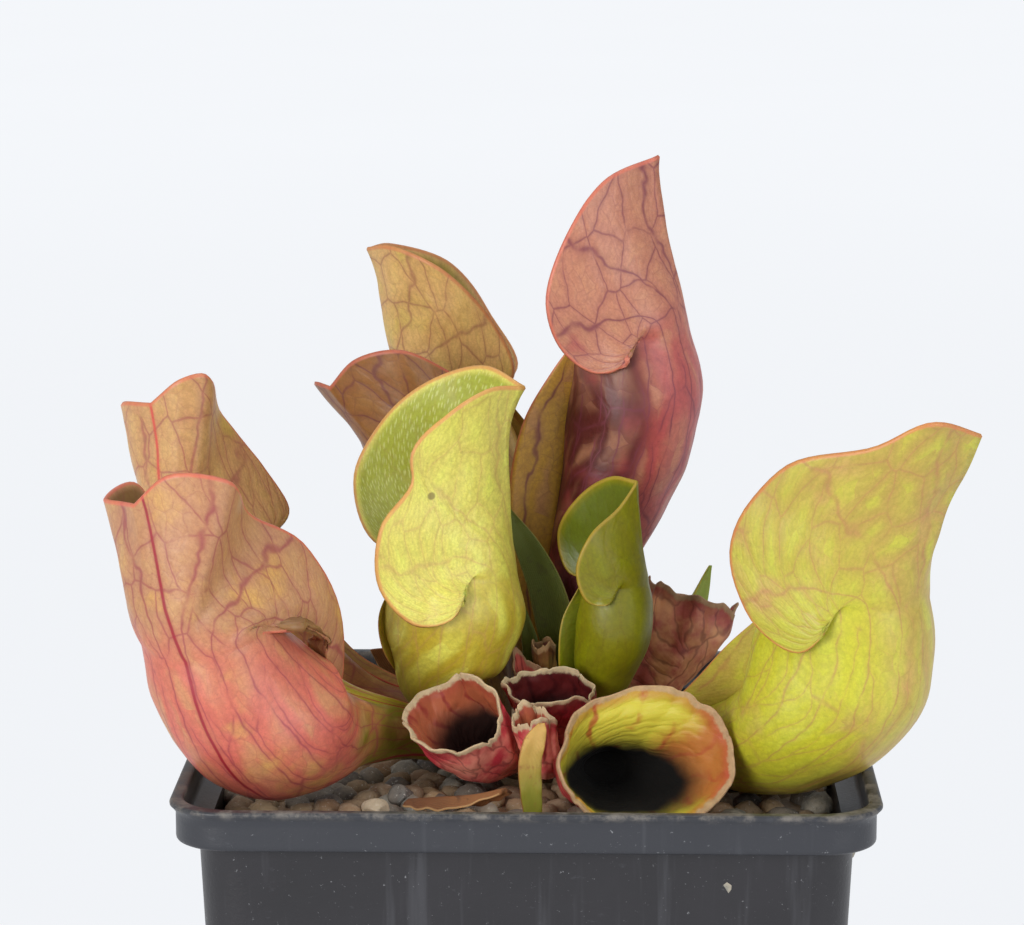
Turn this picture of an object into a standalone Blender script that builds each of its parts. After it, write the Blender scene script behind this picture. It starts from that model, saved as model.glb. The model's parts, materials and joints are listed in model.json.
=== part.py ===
"""Potted pitcher plant: eight live pitchers, trimmed old pitchers, strap leaves, gravel, soil and pot.

Units are metres, +Z up. The origin is the middle of the pot's flat underside.
Each leaf grows as one piece and is one solid; the crown holds the leaf bases between the gravel.
Control points below are millimetres in that same frame.
"""
import math

import bmesh
import bpy
import numpy as np

MM = 0.001
GAP = 0.3                      # clearance kept between pieces that touch

# Pot
POT_TOP = 120.0                # height of the rim
RIM_HALF = 55.0                # half the rim's outer width
SKIRT_HALF = 54.1              # half the width of the deep band under the rim
SKIRT_BOTTOM = 113.5
BODY_TOP_HALF = 50.75
BODY_FOOT_HALF = 45.5
POT_WALL = 1.2
FLOOR = 2.0
CORNER = 9.0
DRAIN_RADIUS = 4.5
DRAIN_PITCH = 27.0

# Filling
SOIL_TOP = 104.0
GRAVEL_TOP = 112.4
GRAVEL_WAVES = 0.25            # how much the gravel's top rises and falls
GRAVEL_BORDER = 2.0            # the gravel's top slopes down to the wall over this width
CROWN = (4.0, 4.0)             # middle of the rosette
CROWN_RADIUS = 19.0
CROWN_TOP = 112.9
CROWN_MIDDLE = 107.0           # height at which the crown is widest
CROWN_FOOT = 100.0             # the crown's rounded underside sits in a hollow of the soil

# Leaves
WALL = 0.9                     # leaf wall of a pitcher
SEAM = 0.16                    # half angle, in radians, of the strip of tube that the wing stands on
SOLID_RINGS = 2                # rings of the leaf base that are solid
FIN = 0.8                      # thickness of the wing along its free edge
DRAPE = 2.0                    # how far a hood lobe hangs clear of the tube beside it
SPINE_STEPS = 40               # places along the tube at which that clearance is looked for
UP = np.array([0.0, 0.0, 1.0])


# ---------------------------------------------------------------- scene helpers
def clear_scene():
    for item in list(bpy.data.objects):
        bpy.data.objects.remove(item, do_unlink=True)


def new_collection(name):
    group = bpy.data.collections.new(name)
    bpy.context.scene.collection.children.link(group)
    return group


def material(name, colour, roughness, metallic=0.0):
    mat = bpy.data.materials.new(name)
    mat.use_nodes = True
    shader = mat.node_tree.nodes["Principled BSDF"]
    shader.inputs["Base Color"].default_value = (*colour, 1.0)
    shader.inputs["Roughness"].default_value = roughness
    shader.inputs["Metallic"].default_value = metallic
    return mat


def solid(name, points, faces, look, group):
    """A closed solid from points in millimetres; its faces are turned outward."""
    mesh = bpy.data.meshes.new(name)
    bm = bmesh.new()
    verts = [bm.verts.new([c * MM for c in p]) for p in points]
    for face in faces:
        corners = []
        for index in face:
            if index not in corners:
                corners.append(index)
        if len(corners) > 2:
            bm.faces.new([verts[i] for i in corners])
    loose = [v for v in bm.verts if not v.link_faces]
    bmesh.ops.delete(bm, geom=loose, context="VERTS")
    bmesh.ops.recalc_face_normals(bm, faces=bm.faces)
    if bm.calc_volume(signed=True) < 0:
        bmesh.ops.reverse_faces(bm, faces=bm.faces)
    bm.to_mesh(mesh)
    bm.free()
    mesh.shade_smooth()
    item = bpy.data.objects.new(name, mesh)
    item.data.materials.append(look)
    group.objects.link(item)
    return item


# ---------------------------------------------------------------- curves and lofts
def unit(v):
    v = np.asarray(v, float)
    return v / np.maximum(np.linalg.norm(v, axis=-1, keepdims=True), 1e-9)


def flow(rows, at):
    """A smooth curve through rows, whose first three numbers are a position, read at fractions of it."""
    rows = np.asarray(rows, float)
    step = np.linalg.norm(np.diff(rows[:, :3], axis=0), axis=1) ** 0.7
    knots = np.concatenate([[0.0], np.cumsum(step)]) / step.sum()
    slope = np.gradient(rows, knots, axis=0)
    at = np.clip(np.asarray(at, float), 0.0, 1.0)
    i = np.clip(np.searchsorted(knots, at, side="right") - 1, 0, len(rows) - 2)
    h = (knots[i + 1] - knots[i])[:, None]
    s = (at[:, None] - knots[i][:, None]) / h
    a, b, m, n = rows[i], rows[i + 1], slope[i] * h, slope[i + 1] * h
    return (a * (2 * s**3 - 3 * s**2 + 1) + m * (s**3 - 2 * s**2 + s)
            + b * (3 * s**2 - 2 * s**3) + n * (s**3 - s**2))


def frames(spine, facing, count):
    """Ring centres, half widths, and the side, back and along directions of a growing stem."""
    azimuth = math.radians(facing)
    back = np.array([math.cos(azimuth), math.sin(azimuth), 0.0])
    side = np.cross(UP, back)
    rows = flow(spine, np.linspace(0.0, 1.0, count))
    along = unit(np.gradient(rows[:, :3], axis=0))
    return rows[:, :3], rows[:, 3], rows[:, 4], back, side, unit(np.cross(side, along)), along


def ring_faces(lower, upper):
    """Quads between two closed loops of point numbers."""
    n = len(lower)
    return [(lower[j], lower[(j + 1) % n], upper[(j + 1) % n], upper[j]) for j in range(n)]


def stem(name, spine, facing, look, group, count=7, corners=10):
    """A solid strap leaf: elliptic rings along a spine of (x, y, z, half width, half depth)."""
    centre, wide, deep, _, side, thick, _ = frames(spine, facing, count)
    turn = np.linspace(0.0, 2 * math.pi, corners, endpoint=False)
    points = np.concatenate([c + w * np.sin(turn)[:, None] * side + d * np.cos(turn)[:, None] * t
                             for c, w, d, t in zip(centre, wide, deep, thick)])
    loops = [list(range(k * corners, (k + 1) * corners)) for k in range(count)]
    faces = [f for a, b in zip(loops[:-1], loops[1:]) for f in ring_faces(a, b)]
    return solid(name, points, faces + [loops[0][::-1], loops[-1]], look, group)


def cup(name, spine, facing, look, group, cut, wall=1.0, count=8, corners=16):
    """An old pitcher cut short: an open cup whose rim rises and falls by cut(angle) millimetres."""
    centre, wide, deep, _, side, thick, along = frames(spine, facing, count)
    turn = np.linspace(0.0, 2 * math.pi, corners, endpoint=False)
    rim = np.array([cut(a) for a in turn])

    def rings(inset):
        out = []
        for k in range(count):
            w, d = max(wide[k] - inset, 0.6), max(deep[k] - inset, 0.6)
            lift = along[k] * rim[:, None] * (k / (count - 1)) ** 4
            out.append(centre[k] + w * np.sin(turn)[:, None] * side
                       + d * np.cos(turn)[:, None] * thick[k] + lift)
        return out

    outer, inner = rings(0.0), rings(wall)[SOLID_RINGS:]
    points = np.concatenate(outer + inner)
    loops = [list(range(k * corners, (k + 1) * corners)) for k in range(len(outer) + len(inner))]
    skin, lining = loops[:count], loops[count:]
    faces = [f for a, b in zip(skin[:-1], skin[1:]) for f in ring_faces(a, b)]
    faces += [f for a, b in zip(lining[:-1], lining[1:]) for f in ring_faces(b, a)]
    faces += ring_faces(skin[-1], lining[-1]) + [skin[0][::-1], lining[0]]
    return solid(name, points, faces, look, group)


# ---------------------------------------------------------------- pitchers
def hood_edge(mouth, back, side, tip, outline, hinge_point, fractions):
    """One half of the hood's free edge, from its tip round the lobe to the hinge beside the mouth."""
    local = np.array([tip] + outline, float)
    world = mouth - local[:, :1] * back + local[:, 1:2] * side + local[:, 2:] * UP
    return flow(np.vstack([world, hinge_point]), fractions)


def drape(points, reach, spine, facing):
    """Push what hangs below the mouth's plane clear of the tube's flank, most away from the hinge."""
    centre, wide, deep, _, side, dorsal, along = frames(spine, facing, SPINE_STEPS)
    axis = np.cross(dorsal[-1], side)
    out = points.copy()
    for n, (point, far) in enumerate(zip(points, reach)):
        below = (centre[-1] - point) @ axis
        if below <= 0.0 or far < 0.05:
            continue
        offset = point - centre
        level = np.argmin(np.abs(np.sum(offset * along, axis=1)))
        a, d = offset[level] @ side, offset[level] @ dorsal[level]
        room = min(DRAPE, DRAPE * far / 3.0)
        inside = math.hypot(a / (wide[level] + room), d / (deep[level] + room))
        if 0.05 < inside < 1.0:
            push = min(below / DRAPE, 1.0) * (1.0 / inside - 1.0)
            out[n] += push * (a * side + d * dorsal[level])
    return out


def pitcher(name, leaf, look, group, count=9, hood_columns=21, front_columns=3, hood_rows=4):
    """A hollow leaf: a tube on a curved spine, a wing down its inner side, and an open two-lobed hood.

    spine: (x, y, z, half width, half depth) from the leaf base to the mouth; facing: azimuth of its back;
    lift, bulge, waist: how far the hood rises before it leans, swells sideways and draws in below its tip.
    tip: the hood's point; left, right: the landmarks of each lobe's edge in order, shoulder, brow, cheek,
    chin and the turn back to the hinge, as (reach over the mouth, spread sideways, rise) from its middle.
    arch: height at which a left lobe that ends below the lip is carried over the mouth's plane first.
    """
    centre, wide, deep, back, side, dorsal, along = frames(leaf["spine"], leaf["facing"], count)
    hinge = math.radians(leaf["hinge"])
    over = np.linspace(-hinge, hinge, hood_columns)
    front = np.linspace(hinge, math.pi - SEAM, front_columns + 1)[1:]
    turn = np.concatenate([-front[::-1], over, front])
    tube = np.array([centre[k] + wide[k] * np.sin(turn)[:, None] * side
                     + deep[k] * np.cos(turn)[:, None] * dorsal[k] for k in range(count)])

    first, last = front_columns, front_columns + hood_columns
    root = tube[-1, first:last]
    half = np.linspace(0.0, 1.0, hood_columns // 2 + 1)
    edge = np.vstack([
        hood_edge(centre[-1], back, side, leaf["tip"], leaf["right"], root[0], half)[::-1],
        hood_edge(centre[-1], back, side, leaf["tip"], leaf["left"], root[-1], half)[1:]])
    share = np.abs(over) / hinge
    swell = (np.sign(over) * leaf["bulge"] * np.sin(math.pi * share))[:, None] * side
    nip = (leaf["waist"] * (1 - share**2))[:, None] * back
    lift = np.minimum(leaf["lift"] * (1 - share**3), 0.6 * np.linalg.norm(edge - root, axis=1))
    pull_low = root + along[-1] * lift[:, None] + swell - 0.5 * nip
    pull_high = root + 0.7 * (edge - root) + swell - nip
    if "arch" in leaf:
        axis = np.cross(dorsal[-1], side)
        short = np.maximum(leaf["arch"] - (pull_high - centre[-1]) @ axis, 0.0)
        pull_high = pull_high + np.where(over > 0, short, 0.0)[:, None] * axis
    hood = [(1 - s)**3 * root + 3 * (1 - s)**2 * s * pull_low + 3 * (1 - s) * s**2 * pull_high + s**3 * edge
            for s in np.linspace(0.0, 1.0, hood_rows + 1)[1:]]
    hinges = root[[0, -1]]
    apart = [np.min(np.linalg.norm(row[:, None] - hinges[None], axis=2), axis=1) for row in hood]
    hood = [drape(row, far, leaf["spine"], leaf["facing"]) for row, far in zip(hood, apart)]

    columns = len(turn)
    sheet = np.vstack([tube.reshape(-1, 3)] + hood)
    grid = np.arange(count * columns).reshape(count, columns)
    rows = [grid[-1, first:last]]
    for k in range(hood_rows):
        row = count * columns + k * hood_columns + np.arange(hood_columns)
        row[0], row[-1] = grid[-1, first], grid[-1, last - 1]
        rows.append(row)
    skin = [(grid[i, j], grid[i, (j + 1) % columns], grid[i + 1, (j + 1) % columns], grid[i + 1, j])
            for i in range(count - 1) for j in range(columns)]
    skin += [(a[j], a[j + 1], b[j + 1], b[j]) for a, b in zip(rows[:-1], rows[1:])
             for j in range(hood_columns - 1)]

    normal = np.zeros_like(sheet)
    for a, b, c, d in skin:
        for i, j, k in ((a, b, c), (a, c, d)):
            normal[[i, j, k]] += np.cross(sheet[j] - sheet[i], sheet[k] - sheet[i])
    thickness = np.concatenate([np.full(count * columns, WALL)]
                               + [np.clip(far / 3.5, 0.25, 1.0) * WALL for far in apart])
    lining = sheet - unit(normal) * thickness[:, None]
    total = len(sheet)

    # The wing: a thin fin standing on the tube's inner side, its free edge following its own curve.
    ridge = flow(leaf["wing"], np.linspace(0.0, 1.0, count))
    fin = np.vstack([ridge - side * FIN / 2, ridge + side * FIN / 2])
    fin_left = [2 * total + k for k in range(count)]
    fin_right = [2 * total + count + k for k in range(count)]

    faces = []
    for i in range(count - 1):
        for j in range(columns - 1):
            faces.append((grid[i, j], grid[i, j + 1], grid[i + 1, j + 1], grid[i + 1, j]))
        faces.append((grid[i, -1], fin_right[i], fin_right[i + 1], grid[i + 1, -1]))
        faces.append((fin_right[i], fin_left[i], fin_left[i + 1], fin_right[i + 1]))
        faces.append((fin_left[i], grid[i, 0], grid[i + 1, 0], fin_left[i + 1]))
    faces += skin[(count - 1) * columns:]
    faces += [tuple(total + v for v in f[::-1]) for f in skin
              if min(f) >= SOLID_RINGS * columns]
    faces.append([*grid[0], fin_right[0], fin_left[0]][::-1])
    faces.append([total + v for v in grid[SOLID_RINGS]])
    # Free edge: hood margin, then the lip across the front of the mouth, closed between skin and lining.
    margin = list(rows[-1])
    lip = list(range(last - 1, columns)) + list(range(0, first + 1))
    brim = margin + [grid[-1, j] for j in lip[1:]]
    for a, b in zip(brim[:-1], brim[1:]):
        if a == grid[-1, columns - 1] and b == grid[-1, 0]:
            faces.append((a, total + a, total + b, b, fin_left[-1], fin_right[-1]))
        else:
            faces.append((a, total + a, total + b, b))
    return solid(name, np.vstack([sheet, lining, fin]), faces, look, group)


LEAVES = {
    "pitcher_right": dict(
        facing=-30, hinge=76, lift=9, bulge=2.5, waist=0.5,
        spine=[(19, -3, 117.6, 2.8, 3.0), (26, -9, 119.5, 5, 5), (35, -18, 122, 9.5, 8),
               (42, -24.5, 126.4, 12.3, 11.0), (48.5, -27.5, 135, 13.4, 14.6),
               (50.5, -29, 143.5, 12.4, 13.6), (50.5, -29.3, 149, 11.8, 12.6)],
        wing=[(19, -2.5, 122), (23, -8, 126), (27, -12, 131), (32, -17, 138), (38.5, -21.5, 145)],
        tip=(-22, 0, 27),
        right=[(-18, -10, 30), (-10, -13, 26), (4, -15, 22), (13, -16, 8), (8, -15, -4), (2, -14, -7),
               (-2, -13, -4)],
        left=[(-12, 9, 26), (2, 13, 20), (17, 14, 16), (25, 15, 2), (17, 13, -10)]),
    "pitcher_tall": dict(
        facing=-5, hinge=80, lift=12, bulge=1.5, waist=2,
        spine=[(5, 9, 115.8, 2.6, 2.6), (6.5, 10.5, 130, 4.2, 4.2), (9.5, 12, 145, 6.8, 6.8),
               (13, 12.5, 156, 9, 9), (16, 12.5, 166, 10.6, 10.6), (17.3, 12.5, 175, 10.8, 10.8),
               (16.5, 12, 184, 9.2, 9.6)],
        wing=[(1.5, 8, 118), (-2, 9.5, 138), (-4, 10.5, 157), (-1.5, 11, 169.5), (2.7, 11.5, 177),
              (6.6, 12, 182.5)],
        tip=(-4.5, 0, 29.5),
        right=[(4, -7, 26), (10, -11, 17), (13, -12, 6), (10, -11, -2), (5, -11, -5), (1, -10, -4)],
        left=[(4, 7, 24), (10, 10, 14), (13, 12, 4), (6, 11, -4)]),
    "pitcher_centre": dict(
        facing=0, hinge=80, lift=9, bulge=1.5, waist=4,
        spine=[(-7, 0, 115.8, 2.8, 3), (-11, -2, 122, 4.5, 5), (-14, -6, 129, 7, 7.5),
               (-13.3, -8, 135.5, 10, 10.4), (-12.2, -8.5, 142.4, 10.8, 11.4), (-11.4, -8, 148.5, 8.8, 9.4)],
        wing=[(-11, -0.5, 118), (-19, -6, 127), (-24, -10, 135), (-24.6, -11, 141), (-21.8, -9, 147)],
        tip=(-10.5, 0, 29.5),
        right=[(-5, -6, 30), (1, -10, 27), (7, -12, 21), (7, -12, 16), (12, -14, 9), (12, -14, -1),
               (6, -13, -7), (1, -12, -6)],
        left=[(-4, 6, 32), (5, 10, 29), (13, 13, 22), (18, 14, 12), (15, 12, 2), (6, 10, -1)]),
    "pitcher_young": dict(
        facing=-10, hinge=78, lift=6, bulge=1.2, waist=0.5,
        spine=[(10, -1, 115.8, 2.0, 2.0), (10.5, -3, 124, 3, 3), (12, -6, 131, 5, 5),
               (13.6, -8, 138, 6, 6.2), (14, -8.5, 143, 5.4, 5.8), (13.9, -8.6, 146, 4.8, 5.4)],
        wing=[(7.5, -1.5, 117), (5.2, -5, 127), (4.6, -8, 134), (5.2, -8.5, 140), (7.8, -8.6, 145.3)],
        tip=(-3.5, 0, 17),
        right=[(-1, -3, 13), (3, -7, 9), (5, -8, 3), (3, -7, -2), (0, -6, -2)],
        left=[(1, 3, 17), (7, 6, 13), (11, 8, 6), (9, 7, 0)]),
    "pitcher_left_front": dict(
        facing=-119, hinge=96, lift=9, bulge=1.5, waist=0.5, arch=1,
        spine=[(-9, -7, 116.2, 2.6, 2.8), (-14, -11, 119.6, 3, 3.2), (-21, -16, 122.4, 3.4, 4),
               (-28, -21.5, 124.2, 5, 5.6), (-35.5, -28, 125.6, 9.6, 9.6), (-41, -32.5, 129.2, 13.6, 13),
               (-46.3, -35, 136.5, 12.8, 12.6), (-50.2, -36.3, 144.5, 10.4, 9.8)],
        wing=[(-8, -5.5, 119), (-14, -9.5, 124), (-21, -14, 127.5), (-29, -18.5, 131.5), (-36, -21.5, 137.5),
              (-42, -25.5, 143.5)],
        tip=(-10, -6, 20.5),
        right=[(-4, -16, 19.5), (8, -19, 19.5), (16, -18, 6), (10, -12, -3)],
        left=[(-9, 0, 25.5), (-4, 8, 24.5), (6, 5, 17.5), (15, 9, 11.5), (19, 13, 0), (19, 11, -14),
              (13, 7, -9), (8, 9.5, -1)]),
    "pitcher_left_rear": dict(
        facing=-119, hinge=76, lift=9, bulge=1.2, waist=1,
        spine=[(-10, 5, 117.6, 2.4, 2.6), (-20, 5.6, 121.4, 2.6, 2.6), (-30, 6, 125.4, 3.4, 3),
               (-40, 6, 130.5, 7.6, 7), (-48.5, 5.5, 138.5, 9.8, 9.6), (-54, 5, 149, 8.6, 8.6)],
        wing=[(-10, 7, 120.6), (-19.5, 8, 124.8), (-29, 9, 129.6), (-38, 13, 138.5), (-49.5, 13.5, 148.5)],
        tip=(-10, -4, 25),
        right=[(-7, -12, 24), (3, -17, 18), (9, -16, 7), (6, -11, 2)],
        left=[(-9, 1, 29), (-6, 4, 30), (2, 2, 22), (9, 5, 13), (11, 9, 5), (6, 9, 2)]),
    "pitcher_middle_left": dict(
        facing=-119, hinge=76, lift=8, bulge=1.2, waist=1,
        spine=[(-6, 9, 116, 2.4, 2.6), (-8, 13, 126, 4.6, 4.8), (-11, 16, 138, 7.6, 7.6),
               (-14, 18, 149, 9, 9), (-18, 18, 159, 8.4, 8.4)],
        wing=[(-4, 11.5, 118), (-3.5, 18, 130), (-4.5, 22.5, 142), (-7.5, 25.5, 152), (-14, 25.8, 158.3)],
        tip=(-10, -13, 15),
        right=[(-7, -18, 15), (5, -19, 9), (9, -14, -2)],
        left=[(-10, -8, 20), (-8, 0, 22), (-1, 5, 18), (8, 9, 10), (9, 9, 1)]),
    "pitcher_middle_rear": dict(
        facing=-170, hinge=78, lift=8, bulge=1.2, waist=2,
        spine=[(1, 16, 115.4, 2.4, 2.6), (0, 24, 128, 4.6, 4.6), (-4, 32, 142, 7.4, 7.4),
               (-10.5, 36.5, 156, 9, 9), (-14.5, 37.5, 166, 8.8, 8.8), (-16.5, 37.5, 173, 8.2, 8.4)],
        wing=[(3.6, 16.5, 118), (6.5, 25, 132), (6, 33, 147), (1.5, 37, 160), (-7, 37.5, 171.3)],
        tip=(-13, 0, 22),
        right=[(-8, -6, 22), (3, -10, 18), (10, -12, 9), (15, -12, -1), (9, -9, -5)],
        left=[(-10, 6, 23), (-2, 11, 20), (7, 12, 11), (11, 11, 1), (4, 9, -4)]),
}

LEAF_LOOKS = {
    "pitcher_right": (0.42, 0.46, 0.05), "pitcher_tall": (0.35, 0.11, 0.09),
    "pitcher_centre": (0.48, 0.48, 0.10), "pitcher_young": (0.19, 0.23, 0.02),
    "pitcher_left_front": (0.45, 0.19, 0.11), "pitcher_left_rear": (0.40, 0.20, 0.09),
    "pitcher_middle_left": (0.28, 0.15, 0.08), "pitcher_middle_rear": (0.38, 0.24, 0.09),
}


def build_pitchers(group):
    for name, leaf in LEAVES.items():
        pitcher(name, leaf, material(name, LEAF_LOOKS[name], 0.45), group)


# ---------------------------------------------------------------- trimmed and dry leaves
def build_old_leaves(group):
    crimson = (0.28, 0.03, 0.04)
    cup("old_pitcher_front_right",
        [(11, -13, 117, 2.6, 2.6), (13.2, -20, 118, 6, 4), (15.2, -26.5, 119.3, 10, 6.2),
         (17.2, -31.5, 121.4, 13, 9.4), (18.8, -34.5, 123.6, 14.1, 12.3)],
        -90, material("old_pitcher_front_right", (0.33, 0.16, 0.05), 0.55), group,
        lambda a: 0.6 * math.sin(3 * a + 0.4) + 0.4 * math.sin(5 * a), corners=20)
    cup("old_pitcher_front_left",
        [(-2.5, -9.5, 116.8, 2.2, 2.2), (-5, -15, 119.2, 4.8, 4.2), (-8.8, -20.5, 122.5, 6.8, 6.8),
         (-12.3, -25, 128.3, 8.0, 8)],
        -95, material("old_pitcher_front_left", crimson, 0.5), group,
        lambda a: 0.8 * math.cos(2 * a + 0.8) - 2.4 * math.exp(-((a - 3.6) / 0.5) ** 2))
    cup("old_pitcher_front_middle",
        [(3.0, -13, 116.6, 1.6, 1.6), (2.4, -19, 118.4, 2.6, 2.4), (1.6, -22.8, 122, 3.2, 2.8),
         (0.8, -24.4, 127.6, 3.6, 3.2)],
        -80, material("old_pitcher_front_middle", crimson, 0.5), group,
        lambda a: 1.2 * math.sin(2 * a + 1.0))
    cup("old_pitcher_folded",
        [(5.5, -7.6, 116.2, 2.2, 2.0), (4.9, -9.6, 121, 4.2, 2.8), (4.0, -12.2, 126, 6.6, 3.8),
         (3.2, -15.4, 130.4, 7.4, 4.6)],
        -82, material("old_pitcher_folded", crimson, 0.5), group,
        lambda a: 0.7 * math.sin(3 * a) + 0.9 * math.cos(a + 0.5), corners=18)
    cup("old_pitcher_pointed",
        [(0.8, -2.4, 116.2, 1.4, 1.4), (0.0, -4.6, 124, 2.0, 1.7), (-0.4, -7.0, 131, 2.5, 1.8)],
        -90, material("old_pitcher_pointed", (0.12, 0.02, 0.03), 0.5), group,
        lambda a: 3.6 * math.exp(-((a - 4.1) / 0.8) ** 2), wall=0.7, corners=12)
    cup("old_pitcher_tube",
        [(3.2, 0.2, 115.4, 1.4, 1.4), (2.6, -1.6, 126, 1.7, 1.7), (2.0, -3.0, 134.6, 1.9, 1.9)],
        -90, material("old_pitcher_tube", (0.22, 0.10, 0.04), 0.55), group,
        lambda a: 0.5 * math.sin(3 * a), wall=0.7, corners=12)
    cup("old_pitcher_rear_right",
        [(15.5, 8.5, 116, 2.6, 2.6), (20, 12, 123, 5.6, 5.2), (24.5, 15, 131, 8.2, 7.4),
         (27, 17, 138, 8.8, 7.8)],
        -70, material("old_pitcher_rear_right", (0.16, 0.03, 0.03), 0.5), group,
        lambda a: -3.4 * math.sin(a) + 0.7 * math.sin(5 * a))
    stem("strap_leaf_stub",
         [(1.0, -36.5, 113.6, 1.4, 0.7), (0.5, -36.8, 119, 1.8, 0.9), (0.4, -36.9, 124, 1.9, 0.9),
          (1.4, -36.6, 128, 1.6, 0.8), (2.2, -36.2, 129.6, 0.6, 0.4)],
         -75, material("strap_leaf_stub", (0.42, 0.34, 0.05), 0.5), group, corners=8)
    stem("strap_leaf_centre",
         [(8, 4.4, 116, 1.4, 1.0), (6.4, 3.6, 126, 2.4, 0.9), (4.4, 3.0, 134.5, 3.2, 0.8),
          (2.4, 2.6, 143, 3.1, 0.7), (-0.8, 2.2, 150.5, 2.3, 0.6), (-4.6, 2.0, 157, 0.6, 0.4)],
         -90, material("strap_leaf_centre", (0.10, 0.16, 0.02), 0.45), group, corners=8)
    stem("strap_leaf_pointed",
         [(0.6, 3.4, 115.4, 1.2, 0.8), (0.3, 2.0, 126, 1.5, 0.7), (-0.2, 1.0, 134, 1.4, 0.6),
          (-1.6, 0.6, 140.5, 0.4, 0.3)],
         -90, material("strap_leaf_pointed", (0.14, 0.14, 0.02), 0.45), group, corners=8)
    stem("strap_leaf_left",
         [(-11.5, 13.0, 114.6, 1.3, 0.9), (-15.5, 13.6, 119.4, 1.6, 0.9), (-21.5, 14, 122.8, 1.9, 0.9),
          (-27, 13.8, 126.2, 1.8, 0.8), (-32.5, 13, 129.6, 0.7, 0.4)],
         -90, material("strap_leaf_left", (0.16, 0.20, 0.03), 0.45), group, corners=8)
    stem("dead_leaf_left",
         [(-13, 18.0, 114.6, 1.2, 0.7), (-17, 18.3, 119, 2.6, 0.6), (-21.5, 18.7, 124, 3.8, 0.5),
          (-25.5, 19.0, 128.5, 2.4, 0.4)],
         -90, material("dead_leaf_left", (0.11, 0.05, 0.02), 0.75), group, corners=8)
    stem("dead_leaf_front",
         [(-18.5, -34.4, 116.4, 1.3, 0.4), (-13.5, -35.0, 116.8, 2.6, 0.5), (-8, -34.8, 117.2, 2.6, 0.5),
          (-3.5, -34.2, 118.2, 1.2, 0.4)],
         -60, material("dead_leaf_front", (0.22, 0.09, 0.03), 0.75), group, corners=8)
    stem("new_shoot",
         [(13, 16, 115.4, 1.2, 1.0), (19.6, 22.5, 123, 2.0, 1.2), (26.6, 29.5, 132, 2.5, 1.3),
          (30.4, 31.5, 140.6, 0.3, 0.3)],
         -60, material("new_shoot", (0.20, 0.22, 0.03), 0.45), group, corners=8)


# ---------------------------------------------------------------- pot and filling
def square_ring(half, radius, z, corner_points=4):
    """Points round a square with rounded corners, anticlockwise."""
    points = []
    for quarter in range(4):
        start = quarter * math.pi / 2
        cx = (half - radius) * (1 if quarter in (0, 3) else -1)
        cy = (half - radius) * (1 if quarter in (0, 1) else -1)
        for k in range(corner_points + 1):
            angle = start + k * math.pi / 2 / corner_points
            points.append((cx + radius * math.cos(angle), cy + radius * math.sin(angle), z))
    return points


def body_half(z):
    """Half width of the pot's tapering body at height z."""
    return BODY_FOOT_HALF + (BODY_TOP_HALF - BODY_FOOT_HALF) * z / SKIRT_BOTTOM


def square_loft(name, profile, look, group):
    """A solid from a profile of (half width, height) swept round a rounded square, closed at both ends."""
    count = len(square_ring(1.0, 0.5, 0.0))
    points, faces = [], []
    for half, z in profile:
        points += square_ring(half, max(CORNER - (RIM_HALF - half) * 0.35, 2.0), z)
    loops = [list(range(k * count, (k + 1) * count)) for k in range(len(profile))]
    for a, b in zip(loops[:-1], loops[1:]):
        faces += ring_faces(a, b)
    return solid(name, points, faces + [loops[0][::-1], loops[-1]], look, group)


def cutter(name, x, y, radius, bottom, top, group):
    bpy.ops.mesh.primitive_cylinder_add(vertices=16, radius=radius * MM, depth=(top - bottom) * MM,
                                        location=(x * MM, y * MM, (top + bottom) / 2 * MM))
    tool = bpy.context.object
    tool.name = name
    tool.hide_render = True
    tool.display_type = "WIRE"
    for other in list(tool.users_collection):
        other.objects.unlink(tool)
    group.objects.link(tool)
    return tool


def cut(item, tool):
    step = item.modifiers.new(tool.name, "BOOLEAN")
    step.operation = "DIFFERENCE"
    step.solver = "EXACT"
    step.object = tool


def build_pot(group, cutters):
    """Thin plastic pot: tapering body, deep skirt, flared rim, four drainage holes and a solid middle."""
    inner = POT_WALL
    profile = [(BODY_FOOT_HALF - POT_WALL, 0.0), (BODY_FOOT_HALF, POT_WALL),
               (body_half(SKIRT_BOTTOM), SKIRT_BOTTOM),
               (SKIRT_HALF - 0.6, SKIRT_BOTTOM), (SKIRT_HALF, SKIRT_BOTTOM + 0.8),
               (SKIRT_HALF, POT_TOP - 1.4),
               (RIM_HALF, POT_TOP - 0.8), (RIM_HALF, POT_TOP - 0.2), (RIM_HALF - 0.4, POT_TOP),
               (SKIRT_HALF - inner, POT_TOP), (SKIRT_HALF - inner, SKIRT_BOTTOM + inner + 0.6),
               (body_half(SKIRT_BOTTOM) - inner, SKIRT_BOTTOM + inner - 0.4),
               (body_half(FLOOR) - inner, FLOOR)]
    pot = square_loft("pot", profile, material("pot", (0.045, 0.048, 0.06), 0.42), group)
    for number, (sx, sy) in enumerate(((1, 1), (-1, 1), (-1, -1), (1, -1))):
        cut(pot, cutter(f"drain_{number}", sx * DRAIN_PITCH, sy * DRAIN_PITCH, DRAIN_RADIUS,
                        -1.0, FLOOR + 1.0, cutters))
    return pot


def crown_outline(offset):
    """Flattened ball of the crown, as (radius, height) from foot to top, moved outward by offset."""
    rise, drop = CROWN_TOP - CROWN_MIDDLE, CROWN_MIDDLE - CROWN_FOOT
    rows = []
    for k in range(9):
        angle = -math.pi / 2 + k * math.pi / 8
        reach = CROWN_RADIUS * math.cos(angle) ** 0.7 if 0 < k < 8 else 0.0
        height = CROWN_MIDDLE + (rise if angle > 0 else drop) * math.sin(angle)
        rows.append((reach + (offset if reach else 0.0), height + math.copysign(offset, angle)))
    return rows


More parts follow.
